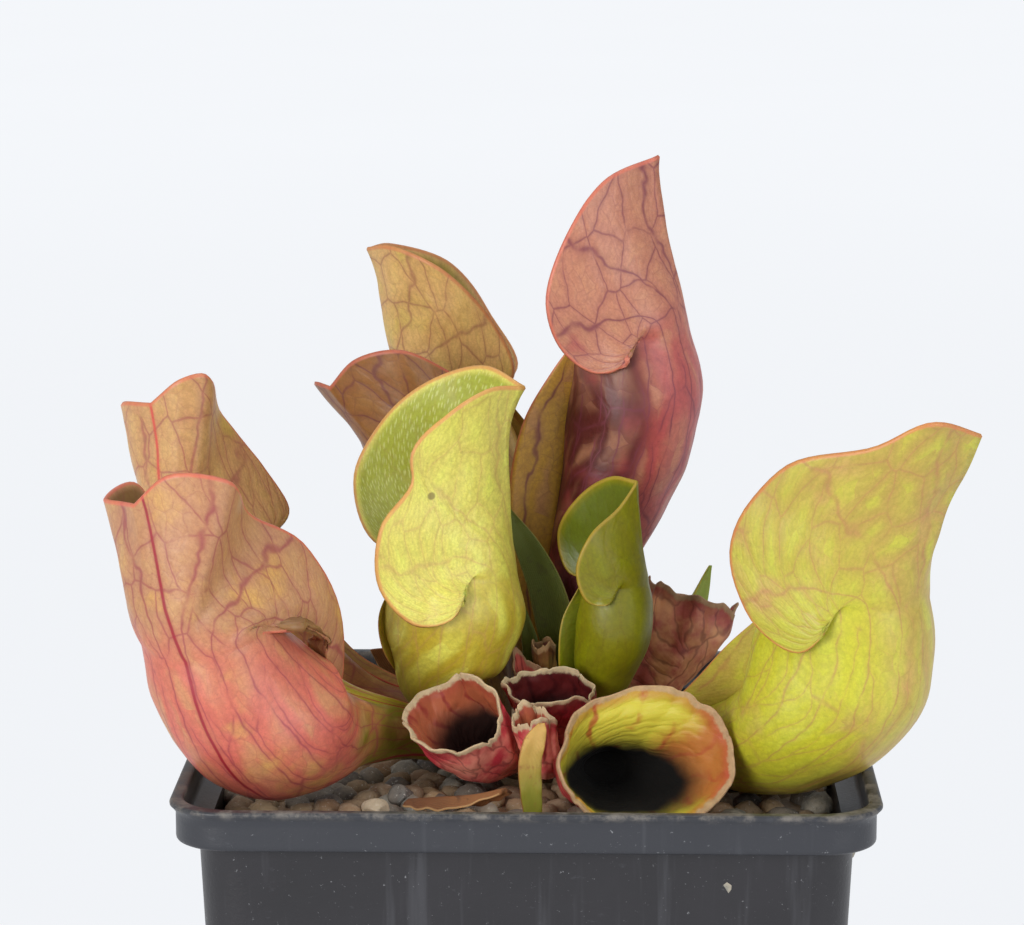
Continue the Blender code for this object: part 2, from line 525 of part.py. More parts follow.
def build_crown(group, name="crown", offset=0.0, look=None):
    """The rootstock: a low knobbly dome from which every leaf grows."""
    look = look or material("crown", (0.12, 0.07, 0.03), 0.8)
    around = 20
    rows = crown_outline(offset)[1:-1]
    points = [(CROWN[0], CROWN[1], crown_outline(offset)[0][1])]
    for reach, z in rows:
        points += [(CROWN[0] + reach * math.cos(2 * math.pi * j / around),
                    CROWN[1] + reach * math.sin(2 * math.pi * j / around), z) for j in range(around)]
    points.append((CROWN[0], CROWN[1], crown_outline(offset)[-1][1]))
    loops = [[1 + k * around + j for j in range(around)] for k in range(len(rows))]
    faces = [f for a, b in zip(loops[:-1], loops[1:]) for f in ring_faces(a, b)]
    faces += [(loops[0][(j + 1) % around], loops[0][j], 0) for j in range(around)]
    faces += [(loops[-1][j], loops[-1][(j + 1) % around], len(points) - 1) for j in range(around)]
    return solid(name, points, faces, look, group)


def gravel_height(x, y):
    """Height of the gravel's gently uneven top."""
    waves = math.sin(0.31 * x + 1.1) * math.cos(0.27 * y - 0.4) + 0.6 * math.sin(0.52 * x - 0.43 * y)
    return GRAVEL_TOP + GRAVEL_WAVES * waves


def build_filling(group, cutters):
    """Soil block and gravel layer, both hollowed for the crown."""
    soil = square_loft("soil", [(body_half(FLOOR) - POT_WALL - GAP - 0.1, FLOOR + GAP),
                                (body_half(SOIL_TOP) - POT_WALL - GAP, SOIL_TOP)],
                       material("soil", (0.05, 0.03, 0.02), 0.95), group)
    low, edge = SOIL_TOP + GAP, GRAVEL_TOP - 0.6
    gravel = square_loft("gravel", [(body_half(low) - POT_WALL - GAP, low),
                                    (body_half(edge) - POT_WALL - GAP, edge)],
                         material("gravel", (0.22, 0.19, 0.15), 0.85), group)
    bm = bmesh.new()
    bm.from_mesh(gravel.data)
    top = [f for f in bm.faces if all(v.co.z > (edge - 0.01) * MM for v in f.verts)]
    border = bmesh.ops.inset_region(bm, faces=top, thickness=GRAVEL_BORDER * MM)["faces"]
    raised = {v for f in top for v in f.verts if f not in border}
    for v in raised:
        v.co.z = gravel_height(v.co.x / MM, v.co.y / MM) * MM
    bmesh.ops.triangulate(bm, faces=top)
    bm.to_mesh(gravel.data)
    bm.free()
    hollow = build_crown(cutters, "crown_hollow", GAP, material("cutter", (0.5, 0.5, 0.5), 0.5))
    hollow.hide_render = True
    hollow.display_type = "WIRE"
    cut(soil, hollow)
    cut(gravel, hollow)


PEBBLES = [  # x, y, half length, half width, half height, turn in degrees
    (-20.5, -26.0, 2.1, 2.6, 1.9, 20), (-24.0, -33.5, 2.7, 2.2, 1.8, 70), (-21.5, -44.0, 2.0, 2.3, 2.1, 10),
    (-26.5, -47.0, 2.9, 1.9, 1.2, 0), (-17.2, -40.0, 2.0, 2.0, 1.6, 40), (-12.2, -44.5, 3.3, 2.6, 2.2, 15),
    (-5.6, -45.8, 4.3, 2.4, 1.4, 5), (-15.0, -47.8, 1.5, 1.6, 1.3, 30), (-2.6, -41.0, 2.2, 2.0, 1.5, 60),
    (5.0, -44.5, 2.7, 2.5, 2.2, 45), (33.2, -47.0, 2.4, 2.0, 1.3, 80), (39.0, -46.5, 3.0, 2.2, 1.2, 20),
    (46.0, -44.5, 2.6, 2.4, 1.3, 50), (36.0, 30.0, 3.2, 2.6, 1.9, 25), (-36.0, 36.0, 3.0, 2.5, 1.8, 65),
    (10.0, 42.0, 3.1, 2.4, 1.8, 35),
]


def build_pebbles(group):
    """Loose stones lying on the gravel: squashed, slightly lumpy balls with a flattened underside."""
    look = material("pebble", (0.33, 0.27, 0.19), 0.7)
    for number, (x, y, a, b, c, turn) in enumerate(PEBBLES, start=1):
        bm = bmesh.new()
        bmesh.ops.create_icosphere(bm, subdivisions=2, radius=1.0)
        angle = math.radians(turn)
        base = GRAVEL_TOP + GRAVEL_WAVES * 1.6 + 0.9 * c + GAP
        for v in bm.verts:
            p = v.co
            lump = 1 + 0.08 * math.sin(3.1 * p.x + number) * math.cos(2.7 * p.y - number) + 0.05 * p.z * p.x
            px, py = a * p.x * lump, b * p.y * lump
            pz = max(c * p.z * lump, -0.9 * c)
            v.co = ((x + px * math.cos(angle) - py * math.sin(angle)) * MM,
                    (y + px * math.sin(angle) + py * math.cos(angle)) * MM, (base + pz) * MM)
        mesh = bpy.data.meshes.new(f"pebble_{number:02d}")
        bm.to_mesh(mesh)
        bm.free()
        mesh.shade_smooth()
        item = bpy.data.objects.new(f"pebble_{number:02d}", mesh)
        item.data.materials.append(look)
        group.objects.link(item)


def build():
    clear_scene()
    parts = new_collection("potted_pitcher_plant")
    cutters = new_collection("cutters")
    build_pot(parts, cutters)
    build_filling(parts, cutters)
    build_crown(parts)
    build_pitchers(parts)
    build_old_leaves(parts)
    build_pebbles(parts)


build()
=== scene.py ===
import json
import math

import bpy
import numpy as np
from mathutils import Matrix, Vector, noise

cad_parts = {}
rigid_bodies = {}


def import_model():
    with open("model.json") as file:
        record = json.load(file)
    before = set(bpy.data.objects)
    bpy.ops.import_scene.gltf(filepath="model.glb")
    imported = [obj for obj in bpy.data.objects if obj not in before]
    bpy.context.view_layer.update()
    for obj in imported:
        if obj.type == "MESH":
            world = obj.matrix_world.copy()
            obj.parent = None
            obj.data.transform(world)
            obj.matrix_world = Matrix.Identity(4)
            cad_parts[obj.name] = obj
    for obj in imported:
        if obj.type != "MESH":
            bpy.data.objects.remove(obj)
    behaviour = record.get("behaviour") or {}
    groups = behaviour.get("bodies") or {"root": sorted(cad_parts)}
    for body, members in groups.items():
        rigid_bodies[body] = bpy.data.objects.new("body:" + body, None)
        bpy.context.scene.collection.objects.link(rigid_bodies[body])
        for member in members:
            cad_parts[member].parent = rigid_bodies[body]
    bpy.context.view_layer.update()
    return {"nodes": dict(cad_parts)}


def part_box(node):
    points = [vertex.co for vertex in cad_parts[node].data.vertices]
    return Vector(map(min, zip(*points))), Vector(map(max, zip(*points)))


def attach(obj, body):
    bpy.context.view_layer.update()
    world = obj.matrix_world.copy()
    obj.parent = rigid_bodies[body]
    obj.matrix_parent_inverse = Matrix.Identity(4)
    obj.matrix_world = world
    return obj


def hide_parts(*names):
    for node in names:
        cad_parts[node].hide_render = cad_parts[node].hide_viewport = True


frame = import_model()
MM = 0.001

# ------------------------------------------------------------------ Studio
# A pale sweep of floor under an even white sky, with broad soft boxes left, right and overhead.
# The camera stands a little above the rim, six tenths of a metre in front of the pot.
studio = bpy.context.scene
studio.view_settings.view_transform = "Standard"
aim = Vector((-3.2, 0.0, 164.35)) * MM
distance, elevation, azimuth = 612 * MM, math.radians(10.33), math.radians(1.38)
camera_data = bpy.data.cameras.new("camera")
camera_data.sensor_width = 36.0
camera_data.lens = 131.1
camera = bpy.data.objects.new("camera", camera_data)
camera.location = aim + distance * Vector((math.sin(azimuth) * math.cos(elevation),
                                           -math.cos(azimuth) * math.cos(elevation), math.sin(elevation)))
camera.rotation_euler = (aim - camera.location).to_track_quat("-Z", "Y").to_euler()
studio.collection.objects.link(camera)
studio.camera = camera


def soft_box(name, place, width, power, tint):
    """A square area light of the given width in metres, turned toward the leaves."""
    data = bpy.data.lights.new(name, "AREA")
    data.shape, data.size, data.energy, data.color = "SQUARE", width, power, tint
    lamp = bpy.data.objects.new(name, data)
    lamp.location = place
    lamp.rotation_euler = (aim - Vector(place)).to_track_quat("-Z", "Y").to_euler()
    studio.collection.objects.link(lamp)


soft_box("key_light", (-0.62, -0.90, 0.42), 0.5, 7.8, (1.0, 0.985, 0.96))
soft_box("fill_light", (0.80, -0.80, 0.42), 0.6, 5.0, (0.97, 0.985, 1.0))
soft_box("top_light", (0.05, 0.20, 1.10), 0.7, 2.2, (1.0, 1.0, 1.0))

sky = bpy.data.worlds.new("studio_air")
sky.use_nodes = True
sky.node_tree.nodes["Background"].inputs["Color"].default_value = (0.95, 0.97, 1.0, 1.0)
sky.node_tree.nodes["Background"].inputs["Strength"].default_value = 0.55
studio.world = sky


class Wire:
    """One value inside a finish; arithmetic on it adds Math nodes."""

    def __init__(self, finish, socket):
        self.finish, self.socket = finish, socket

    def math(self, operation, first, second=0.0, third=0.0):
        return self.finish.node("ShaderNodeMath", {"operation": operation}, {0: first, 1: second, 2: third})

    def __add__(self, other):
        return self.math("ADD", self, other)

    def __sub__(self, other):
        return self.math("SUBTRACT", self, other)

    def __rsub__(self, other):
        return self.math("SUBTRACT", other, self)

    def __mul__(self, other):
        return self.math("MULTIPLY", self, other)

    __radd__, __rmul__ = __add__, __mul__

    def larger(self, other):
        return self.math("MAXIMUM", self, other)

    def size(self):
        return self.math("ABSOLUTE", self)

    def fold(self):
        """Distance to the nearest whole number: 0 on each line of a set of stripes."""
        return self.math("PINGPONG", self, 0.5)


class Graph:
    """A node tree whose nodes are made one call at a time: type, settings, then socket values or links."""

    def node(self, kind, settings=None, sockets=None, out=0):
        item = self.tree.nodes.new(kind)
        for key, value in (settings or {}).items():
            setattr(item, key, value)
        for key, value in (sockets or {}).items():
            if isinstance(value, Wire):
                self.tree.links.new(value.socket, item.inputs[key])
            elif isinstance(value, tuple) and item.inputs[key].type == "RGBA":
                item.inputs[key].default_value = (*value, 1.0)
            else:
                item.inputs[key].default_value = value
        return Wire(self, item.outputs[out])


class Finish(Graph):
    """A procedural material; what is the same all over is set on the shader's own sockets."""

    def __init__(self, name, **constants):
        self.material = bpy.data.materials.new(name)
        self.material.use_nodes = True
        self.tree = self.material.node_tree
        self.shader = self.tree.nodes["Principled BSDF"]
        for socket, value in constants.items():
            self.shader.inputs[socket.replace("_", " ")].default_value = value

    def step(self, value, low, high):
        """0 at low, 1 at high and smooth between them."""
        return self.node("ShaderNodeMapRange", {"interpolation_type": "SMOOTHSTEP"},
                         {"Value": value, "From Min": low, "From Max": high})

    def mix(self, factor, first, second, blend="MIX"):
        return self.node("ShaderNodeMix", {"data_type": "RGBA", "blend_type": blend},
                         {0: factor, 6: first, 7: second}, out=2)

    def place(self):
        return self.node("ShaderNodeTexCoord", out=3)

    def stretch(self, where, by):
        return self.node("ShaderNodeVectorMath", {"operation": "MULTIPLY"}, {0: where, 1: by})

    def shift(self, where, by):
        return self.node("ShaderNodeVectorMath", {"operation": "ADD"}, {0: where, 1: by})

    def split(self, vector, axis):
        return self.node("ShaderNodeSeparateXYZ", {}, {0: vector}, out=axis)

    def grain(self, where, scale, detail=3.0, rough=0.5, out=0):
        return self.node("ShaderNodeTexNoise", {}, {"Vector": where, "Scale": scale, "Detail": detail,
                                                    "Roughness": rough}, out=out)

    def cells(self, where, scale, feature="DISTANCE_TO_EDGE", dimensions="3D", out="Distance"):
        return self.node("ShaderNodeTexVoronoi", {"feature": feature, "voronoi_dimensions": dimensions},
                         {"Vector": where, "Scale": scale}, out=out)

    def attribute(self, name):
        return self.node("ShaderNodeAttribute", {"attribute_name": name}, out="Fac")

    def uv(self, name):
        return self.node("ShaderNodeUVMap", {"uv_map": name})

    def put(self, socket, value):
        self.tree.links.new(value.socket, self.shader.inputs[socket])

    def bump(self, height, strength, depth):
        self.put("Normal", self.node("ShaderNodeBump", {}, {"Height": height, "Strength": strength,
                                                            "Distance": depth}))


def rgb(red, green, blue):
    """A screen colour, 0 to 255, as linear light."""
    screen = (red, green, blue)
    return tuple(c / 3294.6 if c <= 10 else ((c / 255 + 0.055) / 1.055) ** 2.4 for c in screen)


floor_mesh = bpy.data.meshes.new("floor")
floor_mesh.from_pydata([(-9, -9, 0), (9, -9, 0), (9, 18, 0), (-9, 18, 0)], [], [(0, 1, 2, 3)])
floor = bpy.data.objects.new("floor", floor_mesh)
studio.collection.objects.link(floor)
sweep = Finish("floor_paint", Roughness=0.9, Specular_IOR_Level=0.0, Emission_Strength=0.84)
sweep_tone = sweep.mix(sweep.grain(sweep.place(), 3.0), rgb(122, 123, 125), rgb(128, 129, 131))
sweep.put("Base Color", sweep.mix(sweep.step(sweep.split(sweep.place(), 1), 0.0, 2.5), rgb(88, 89, 92),
                                  sweep_tone))
sweep.shader.inputs["Emission Color"].default_value = (0.95, 0.97, 1.0, 1.0)
floor_mesh.materials.append(sweep.material)


# ------------------------------------------------------------------ Pot
# A thin injection-moulded nursery pot: tapering square body, deep skirt and a narrow flared rim.
# Recycled charcoal plastic with a blue cast, satin, scuffed pale along its rim and corners.
def piece(name, points, faces, finish, uvs=None, values=None):
    """A smooth mesh object from points in millimetres, with UV maps by corner and values by point."""
    mesh = bpy.data.meshes.new(name)
    mesh.from_pydata((np.asarray(points) * MM).tolist(), [], faces)
    mesh.shade_smooth()
    corners = np.concatenate([np.asarray(f) for f in faces])
    for label, rows in (uvs or {}).items():
        layer = mesh.uv_layers.new(name=label)
        data = rows[corners] if len(rows) == len(points) else rows
        layer.data.foreach_set("uv", np.asarray(data, np.float32).ravel())
    for label, row in (values or {}).items():
        layer = mesh.attributes.new(label, "FLOAT", "POINT")
        layer.data.foreach_set("value", np.asarray(row, np.float32))
    mesh.materials.append(finish.material)
    item = bpy.data.objects.new(name, mesh)
    studio.collection.objects.link(item)
    return item


def install(item, *nodes, slot):
    """The finished piece stands in for its CAD nodes and rides with the plant; slot is not used."""
    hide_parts(*nodes)
    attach(item, "root")


def between(lower, upper):
    """Quads between two closed loops of point numbers."""
    n = len(lower)
    return [(lower[j], lower[(j + 1) % n], upper[(j + 1) % n], upper[j]) for j in range(n)]


def square_ring(half, radius, z, corner_points=14, side_points=24):
    """Points round a square with rounded corners, anticlockwise from its +X side."""
    ring = []
    for quarter in range(4):
        turn = quarter * math.pi / 2
        out = np.array([math.cos(turn), math.sin(turn)])
        left = np.array([-out[1], out[0]])
        flat = half - radius
        for k in range(side_points):
            ring.append((*(out * half + left * flat * (2 * k / side_points - 1)), z))
        for k in range(corner_points):
            a = turn + k / corner_points * math.pi / 2
            ring.append((*((out + left) * flat + radius * np.array([math.cos(a), math.sin(a)])), z))
    return ring


pot_top, rim_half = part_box("pot")[1].z / MM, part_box("pot")[1].x / MM
skirt_half, skirt_foot = rim_half - 0.9, pot_top - 6.5
body_top, body_foot, wall = rim_half - 4.25, rim_half - 9.5, 1.2
drain_radius, drain_place = 4.5, 27


def body_half(z):
    return body_foot + (body_top - body_foot) * z / skirt_foot


def arc(half, z, radius, start, stop, steps=5):
    """Points of a rounded edge in the pot's profile, by angle from straight out."""
    return [(half + radius * math.cos(a), z + radius * math.sin(a))
            for a in np.radians(np.linspace(start, stop, steps))]


profile = (arc(body_foot - 1.2, 1.2, 1.2, -90, 0)
           + [(body_half(z), z) for z in np.linspace(5, skirt_foot - 1, 24)]
           + arc(body_half(skirt_foot) + 0.8, skirt_foot - 0.8, -0.8, 0, -90, 4)
           + arc(skirt_half - 0.7, skirt_foot + 0.7, 0.7, -90, 0)
           + [(skirt_half, z) for z in np.linspace(skirt_foot + 1.2, pot_top - 1.9, 5)]
           + [(skirt_half + 0.3, pot_top - 1.4)] + arc(rim_half - 0.5, pot_top - 0.5, 0.5, -60, 90)
           + arc(skirt_half - wall + 0.4, pot_top - 0.4, -0.4, -90, 0, 4)
           + [(skirt_half - wall, z) for z in np.linspace(pot_top - 1, skirt_foot + 2.4, 5)]
           + [(skirt_half - wall - 0.5, skirt_foot + 1.6), (body_half(skirt_foot) - wall, skirt_foot + 0.8)]
           + [(body_half(z) - wall, z) for z in np.linspace(skirt_foot - 2, 2.0, 12)])

plastic = Finish("charcoal_plastic", Specular_IOR_Level=0.5)
where = plastic.place()
height = plastic.split(where, 2)
mottle = plastic.grain(where, 60.0, 4.0, 0.6)
grit = plastic.grain(where, 1500.0, 2.0, 0.7)
scratch = plastic.grain(plastic.stretch(where, (0.5, 0.5, 1.2)), 500.0, 4.0, 0.7)
drip = plastic.grain(plastic.stretch(where, (1.0, 1.0, 0.05)), 350.0, 3.0, 0.6)
worn = plastic.step(plastic.grain(where, 260.0, 5.0, 0.75), 0.42, 0.66)
rim_band = plastic.step(height, (pot_top - 1.7) * MM, (pot_top - 0.1) * MM)
tone = plastic.mix(mottle, rgb(22, 21, 24), rgb(37, 35, 40))
tone = plastic.mix(plastic.step(height, (skirt_foot - 1) * MM, (skirt_foot + 1) * MM) * 0.6, tone,
                   rgb(50, 53, 60))
tone = plastic.mix(plastic.step(drip, 0.54, 0.76) * 0.14, tone, rgb(112, 114, 120))
tone = plastic.mix(plastic.step(scratch, 0.64, 0.78) * 0.12, tone, rgb(118, 120, 127))
tone = plastic.mix(plastic.step(plastic.grain(where, 1300.0, 3.0, 0.75), 0.66, 0.76) * 0.5, tone,
                   rgb(165, 167, 170))
tone = plastic.mix(rim_band * worn * 0.75, tone, rgb(124, 118, 110))
plastic.put("Base Color", tone)
plastic.put("Roughness", 0.33 + mottle * 0.18 + worn * rim_band * 0.25)
plastic.bump(grit * 0.5 + scratch * 0.7 + mottle * 0.5, 0.3, 0.0003)

rings = [square_ring(half, max(9.0 - (rim_half - half) * 0.35, 2.0), z) for half, z in profile]
count = len(rings[0])
loops = [list(range(k * count, (k + 1) * count)) for k in range(len(rings))]
shell = np.array(rings).reshape(-1, 3)
# Moulded walls draw in slightly between the corners, more toward the foot than at the stiff rim.
middle = 1 - np.clip(np.sort(np.abs(shell[:, :2]), axis=1)[:, 0] / body_foot, 0, 1) ** 2
shell[:, :2] *= (1 - 0.006 * middle * np.clip((skirt_foot - shell[:, 2]) / 40, 0, 1))[:, None]
pot = piece("nursery_pot", shell, [f for a, b in zip(loops[:-1], loops[1:]) for f in between(a, b)]
            + [loops[0][::-1], loops[-1]], plastic)
for side_x, side_y in ((1, 1), (-1, 1), (-1, -1), (1, -1)):
    bpy.ops.mesh.primitive_cylinder_add(vertices=32, radius=drain_radius * MM, depth=10 * MM,
                                        location=(side_x * drain_place * MM, side_y * drain_place * MM, 0))
    tool = bpy.context.object
    drill = pot.modifiers.new("drain", "BOOLEAN")
    drill.object, drill.solver = tool, "EXACT"
    drilled = bpy.data.meshes.new_from_object(pot.evaluated_get(bpy.context.evaluated_depsgraph_get()))
    pot.modifiers.clear()
    pot.data = drilled
    bpy.data.objects.remove(tool)
pot.data.set_sharp_from_angle(angle=math.radians(60))
install(pot, "pot", slot="pot")

# ------------------------------------------------------------------ Soil and crown
# Moist peat fills the pot under the gravel, and the brown knobbly rootstock sits in a hollow of it.
# Both are loose or corky and stay matt; their shapes are the fitted ones already in the pot.
for node_name, dark, light, size in (("soil", (30, 22, 16), (84, 62, 44), 420.0),
                                     ("crown", (38, 24, 14), (104, 74, 46), 300.0)):
    earth = Finish("moist_peat" if node_name == "soil" else "corky_rootstock", Specular_IOR_Level=0.2)
    where = earth.place()
    crumbs = earth.grain(where, size, 6.0, 0.7)
    fibres = earth.grain(earth.stretch(where, (1.0, 0.2, 1.0)), 900.0, 4.0, 0.6)
    earth.put("Base Color", earth.mix(earth.step(crumbs * 0.7 + fibres * 0.3, 0.35, 0.65), rgb(*dark),
                                      rgb(*light)))
    earth.put("Roughness", 0.82 + crumbs * 0.14)
    earth.bump(crumbs + fibres * 0.5, 0.7, 0.0015)
    frame["nodes"][node_name].material_slots[0].material = earth.material

# ------------------------------------------------------------------ Pitchers
# Each pitcher is one leaf rolled into a tube: a hollow body with a wing down its inner side, and a
# two-lobed hood standing open behind the mouth. The wall is under a millimetre, fleshy and veined.
UP = np.array([0.0, 0.0, 1.0])


def unit(v):
    return v / np.maximum(np.linalg.norm(v, axis=-1, keepdims=True), 1e-9)


def flow(rows, at):
    """A smooth curve through rows, whose first three numbers are a position, read at fractions of it."""
    rows = np.asarray(rows, float)
    step = np.linalg.norm(np.diff(rows[:, :3], axis=0), axis=1) ** 0.7
    knots = np.concatenate([[0.0], np.cumsum(step)]) / step.sum()
    slope = np.gradient(rows, knots, axis=0)
    i = np.clip(np.searchsorted(knots, at, side="right") - 1, 0, len(rows) - 2)
    h = (knots[i + 1] - knots[i])[:, None]
    s = (at[:, None] - knots[i][:, None]) / h
    a, b, m, n = rows[i], rows[i + 1], slope[i] * h, slope[i + 1] * h
    return (a * (2 * s**3 - 3 * s**2 + 1) + m * (s**3 - 2 * s**2 + s)
            + b * (3 * s**2 - 2 * s**3) + n * (s**3 - s**2))


def growth(spine, facing, count):
    """Ring centres, half widths, and the side, back and along directions of a growing leaf."""
    azimuth = math.radians(facing)
    back = np.array([math.cos(azimuth), math.sin(azimuth), 0.0])
    side = np.cross(UP, back)
    rows = flow(spine, np.linspace(0.0, 1.0, count))
    along = unit(np.gradient(rows[:, :3], axis=0))
    return rows[:, :3], rows[:, 3], rows[:, 4], back, side, unit(np.cross(side, along)), along


def ruffle(points, size, amount, seed):
    """Gentle lumps: how far each point moves along its normal, in millimetres."""
    return np.array([noise.noise(Vector(p) / size + Vector((seed, 0, 0))) for p in points]) * amount


def patch_quads(grid):
    """Quads of an open sheet of point numbers."""
    return np.stack([grid[:-1, :-1], grid[:-1, 1:], grid[1:, 1:], grid[1:, :-1]], axis=-1).reshape(-1, 4)


def tube_quads(grid):
    """Quads of a tube whose rows of point numbers close on themselves."""
    wrap = np.roll(grid, -1, axis=1)
    return np.stack([grid[:-1], wrap[:-1], wrap[1:], grid[1:]], axis=-1).reshape(-1, 4)


def by_corner(faces):
    """The point number of every face corner, and the face it belongs to."""
    return (np.concatenate([np.asarray(f) for f in faces]),
            np.concatenate([np.full(len(f), n) for n, f in enumerate(faces)]))


def point_normals(points, quads):
    corner = points[quads]
    face = np.cross(corner[:, 2] - corner[:, 0], corner[:, 3] - corner[:, 1])
    total = np.zeros_like(points)
    for k in range(4):
        np.add.at(total, quads[:, k], face)
    return unit(total)


def leaf_finish(name, foot, body, hood, vein, inside, edge, keel, veins=0.6, network=0.6, rib=None,
                blush=None, ridge=None, maroon_throat_and_shade=None, green_to=(-0.95, -0.35), inner_vein=0.3, rib_at=0.0,
                bristly=0.0, spot=None):
    """Living pitcher wall: colour by height, lengthwise and netted veins, and a coloured edge."""
    leaf = Finish(name, Subsurface_Weight=0.12, Subsurface_Scale=0.0012, Specular_IOR_Level=0.45)
    leaf.shader.inputs["Subsurface Radius"].default_value = (1.0, 0.55, 0.2)
    where = leaf.place()
    sheet = leaf.uv("sheet")
    ribs = leaf.uv("ribs")
    rise, turn = leaf.split(ribs, 1), leaf.split(ribs, 0)
    lining = leaf.attribute("lining")
    brink = leaf.attribute("brink")
    patch = leaf.grain(where, 95.0, 3.0, 0.55)
    fade = leaf.grain(where, 210.0, 2.0, 0.5)
    drift = leaf.grain(where, 170.0, 2.0, 0.5, out="Color")
    bent = leaf.shift(sheet, leaf.stretch(leaf.shift(drift, (-0.5, -0.5, -0.5)), (0.030, 0.030, 0.0)))
    level = rise + (patch - 0.5) * 0.5
    apart = turn.size()
    tone = leaf.mix(leaf.step(level, *green_to), rgb(*foot), rgb(*body))
    # On the mouth side the body is painted dark maroon: partly the leaf's own colour, partly painted shade
    # under the hood.
    if maroon_throat_and_shade:
        tone = leaf.mix(leaf.step(apart + (patch - 0.5) * 0.15, 0.30, 0.50), tone, rgb(*maroon_throat_and_shade))
    tone = leaf.mix(leaf.step(level, -0.25, 0.35), tone, rgb(*hood))
    if ridge:
        tone = leaf.mix(leaf.step(apart + (patch - 0.5) * 0.25, 0.34, 0.08) * 0.7, tone, rgb(*ridge))
    if blush:
        colour, low, high = blush
        tone = leaf.mix(leaf.step(patch, low, high), tone, rgb(*colour))
    blade = leaf.attribute("blade")
    tone = leaf.mix(blade, tone, rgb(*keel))
    on_hood = leaf.step(rise, -0.2, 0.15)
    net_hood = leaf.cells(leaf.stretch(bent, (15.0, 12.0, 1.0)), 1.0, dimensions="2D")
    net_body = leaf.cells(leaf.stretch(bent, (20.0, 7.0, 1.0)), 1.0, dimensions="2D")
    net = on_hood * net_hood + (1 - on_hood) * net_body
    close = leaf.stretch(bent, (40.0, 32.0, 1.0))
    fine = leaf.cells(close, 1.0, dimensions="2D")
    scale = leaf.cells(leaf.stretch(bent, (110.0, 95.0, 1.0)), 1.0, feature="F1", dimensions="2D")
    tint = leaf.split(leaf.cells(close, 1.0, feature="F1", dimensions="2D", out="Color"), 0)
    lengthwise = (turn * 8.0 + leaf.split(drift, 1) * 0.55).fold()
    strong = leaf.step(fade, 0.20, 0.52)
    main = leaf.step(lengthwise, 0.055, 0.0) + leaf.step(lengthwise, 0.20, 0.0) * 0.35
    netted = (leaf.step(net, 0.040, 0.0) + leaf.step(net, 0.15, 0.0) * 0.35) * (1 - blade * 0.8)
    faint = leaf.step(fine, 0.07, 0.0) * leaf.step(patch, 0.30, 0.60)
    marks = (main * veins * strong * 0.75).larger(netted * network * strong * 0.75)
    marks = marks.larger(faint * (network * 0.35))
    tone = leaf.mix(leaf.step(net, 0.08, 0.40) * (tint * 0.5 + 0.15), tone,
                    rgb(min(hood[0] * 1.05, 250), min(hood[1] * 1.12, 245), min(hood[2] * 1.05, 240)))
    tone = leaf.mix(marks * (1 - lining * (1 - inner_vein)), tone, rgb(*vein))
    if rib:
        strip = (leaf.split(sheet, 0) + (patch - 0.5) * 0.01 - rib_at).size()
        tone = leaf.mix(leaf.step(strip, 0.010, 0.0) * 0.35 + leaf.step(strip, 0.0042, 0.0015) * 0.65,
                        tone, rgb(*rib))
    inner = leaf.mix(patch, rgb(*inside), rgb(*[c * 0.82 for c in inside]))
    inner = leaf.mix(marks * inner_vein, inner, rgb(*vein))
    if bristly:
        bristle = leaf.cells(leaf.stretch(sheet, (150.0, 60.0, 1.0)), 1.0, feature="F1", dimensions="2D")
        inner = leaf.mix(leaf.step(bristle, 0.34, 0.12) * bristly, inner, rgb(214, 222, 140))
    tone = leaf.mix(lining * leaf.step(brink, 0.3, 1.6), tone, inner)
    if spot:
        away = leaf.node("ShaderNodeVectorMath", {"operation": "DISTANCE"},
                         {0: leaf.stretch(where, (1.0, 0.0, 1.0)), 1: (spot[0] * MM, 0.0, spot[1] * MM)},
                         out=1)
        tone = leaf.mix(leaf.step(away + (patch - 0.5) * 0.0006, 0.0007, 0.0004) * 0.75, tone,
                        rgb(112, 92, 40))
    tone = leaf.mix(leaf.step(scale, 0.15, 0.75) * 0.16, tone, rgb(*[c * 0.6 for c in body]))
    tone = leaf.mix(leaf.step(leaf.grain(where, 2600.0, 2.0, 0.8), 0.38, 0.64) * 0.17, tone,
                    rgb(*[c * 0.62 for c in body]))
    tone = leaf.mix(leaf.step(leaf.grain(where, 1400.0, 2.0, 0.7), 0.62, 0.75) * 0.18, tone,
                    rgb(*[c * 0.5 for c in vein]))
    tone = leaf.mix(leaf.step(brink, 0.55, 0.1) * 0.7, tone, rgb(*edge))
    leaf.put("Base Color", tone)
    leaf.put("Roughness", 0.36 + patch * 0.14 + marks * 0.06)
    leaf.bump(leaf.step(net, 0.0, 0.3) * 0.6 + leaf.step(fine, 0.0, 0.25) * 0.2
              + leaf.grain(where, 900.0, 3.0, 0.6) * 0.25 - scale * 0.1, 0.22, 0.0004)
    return leaf


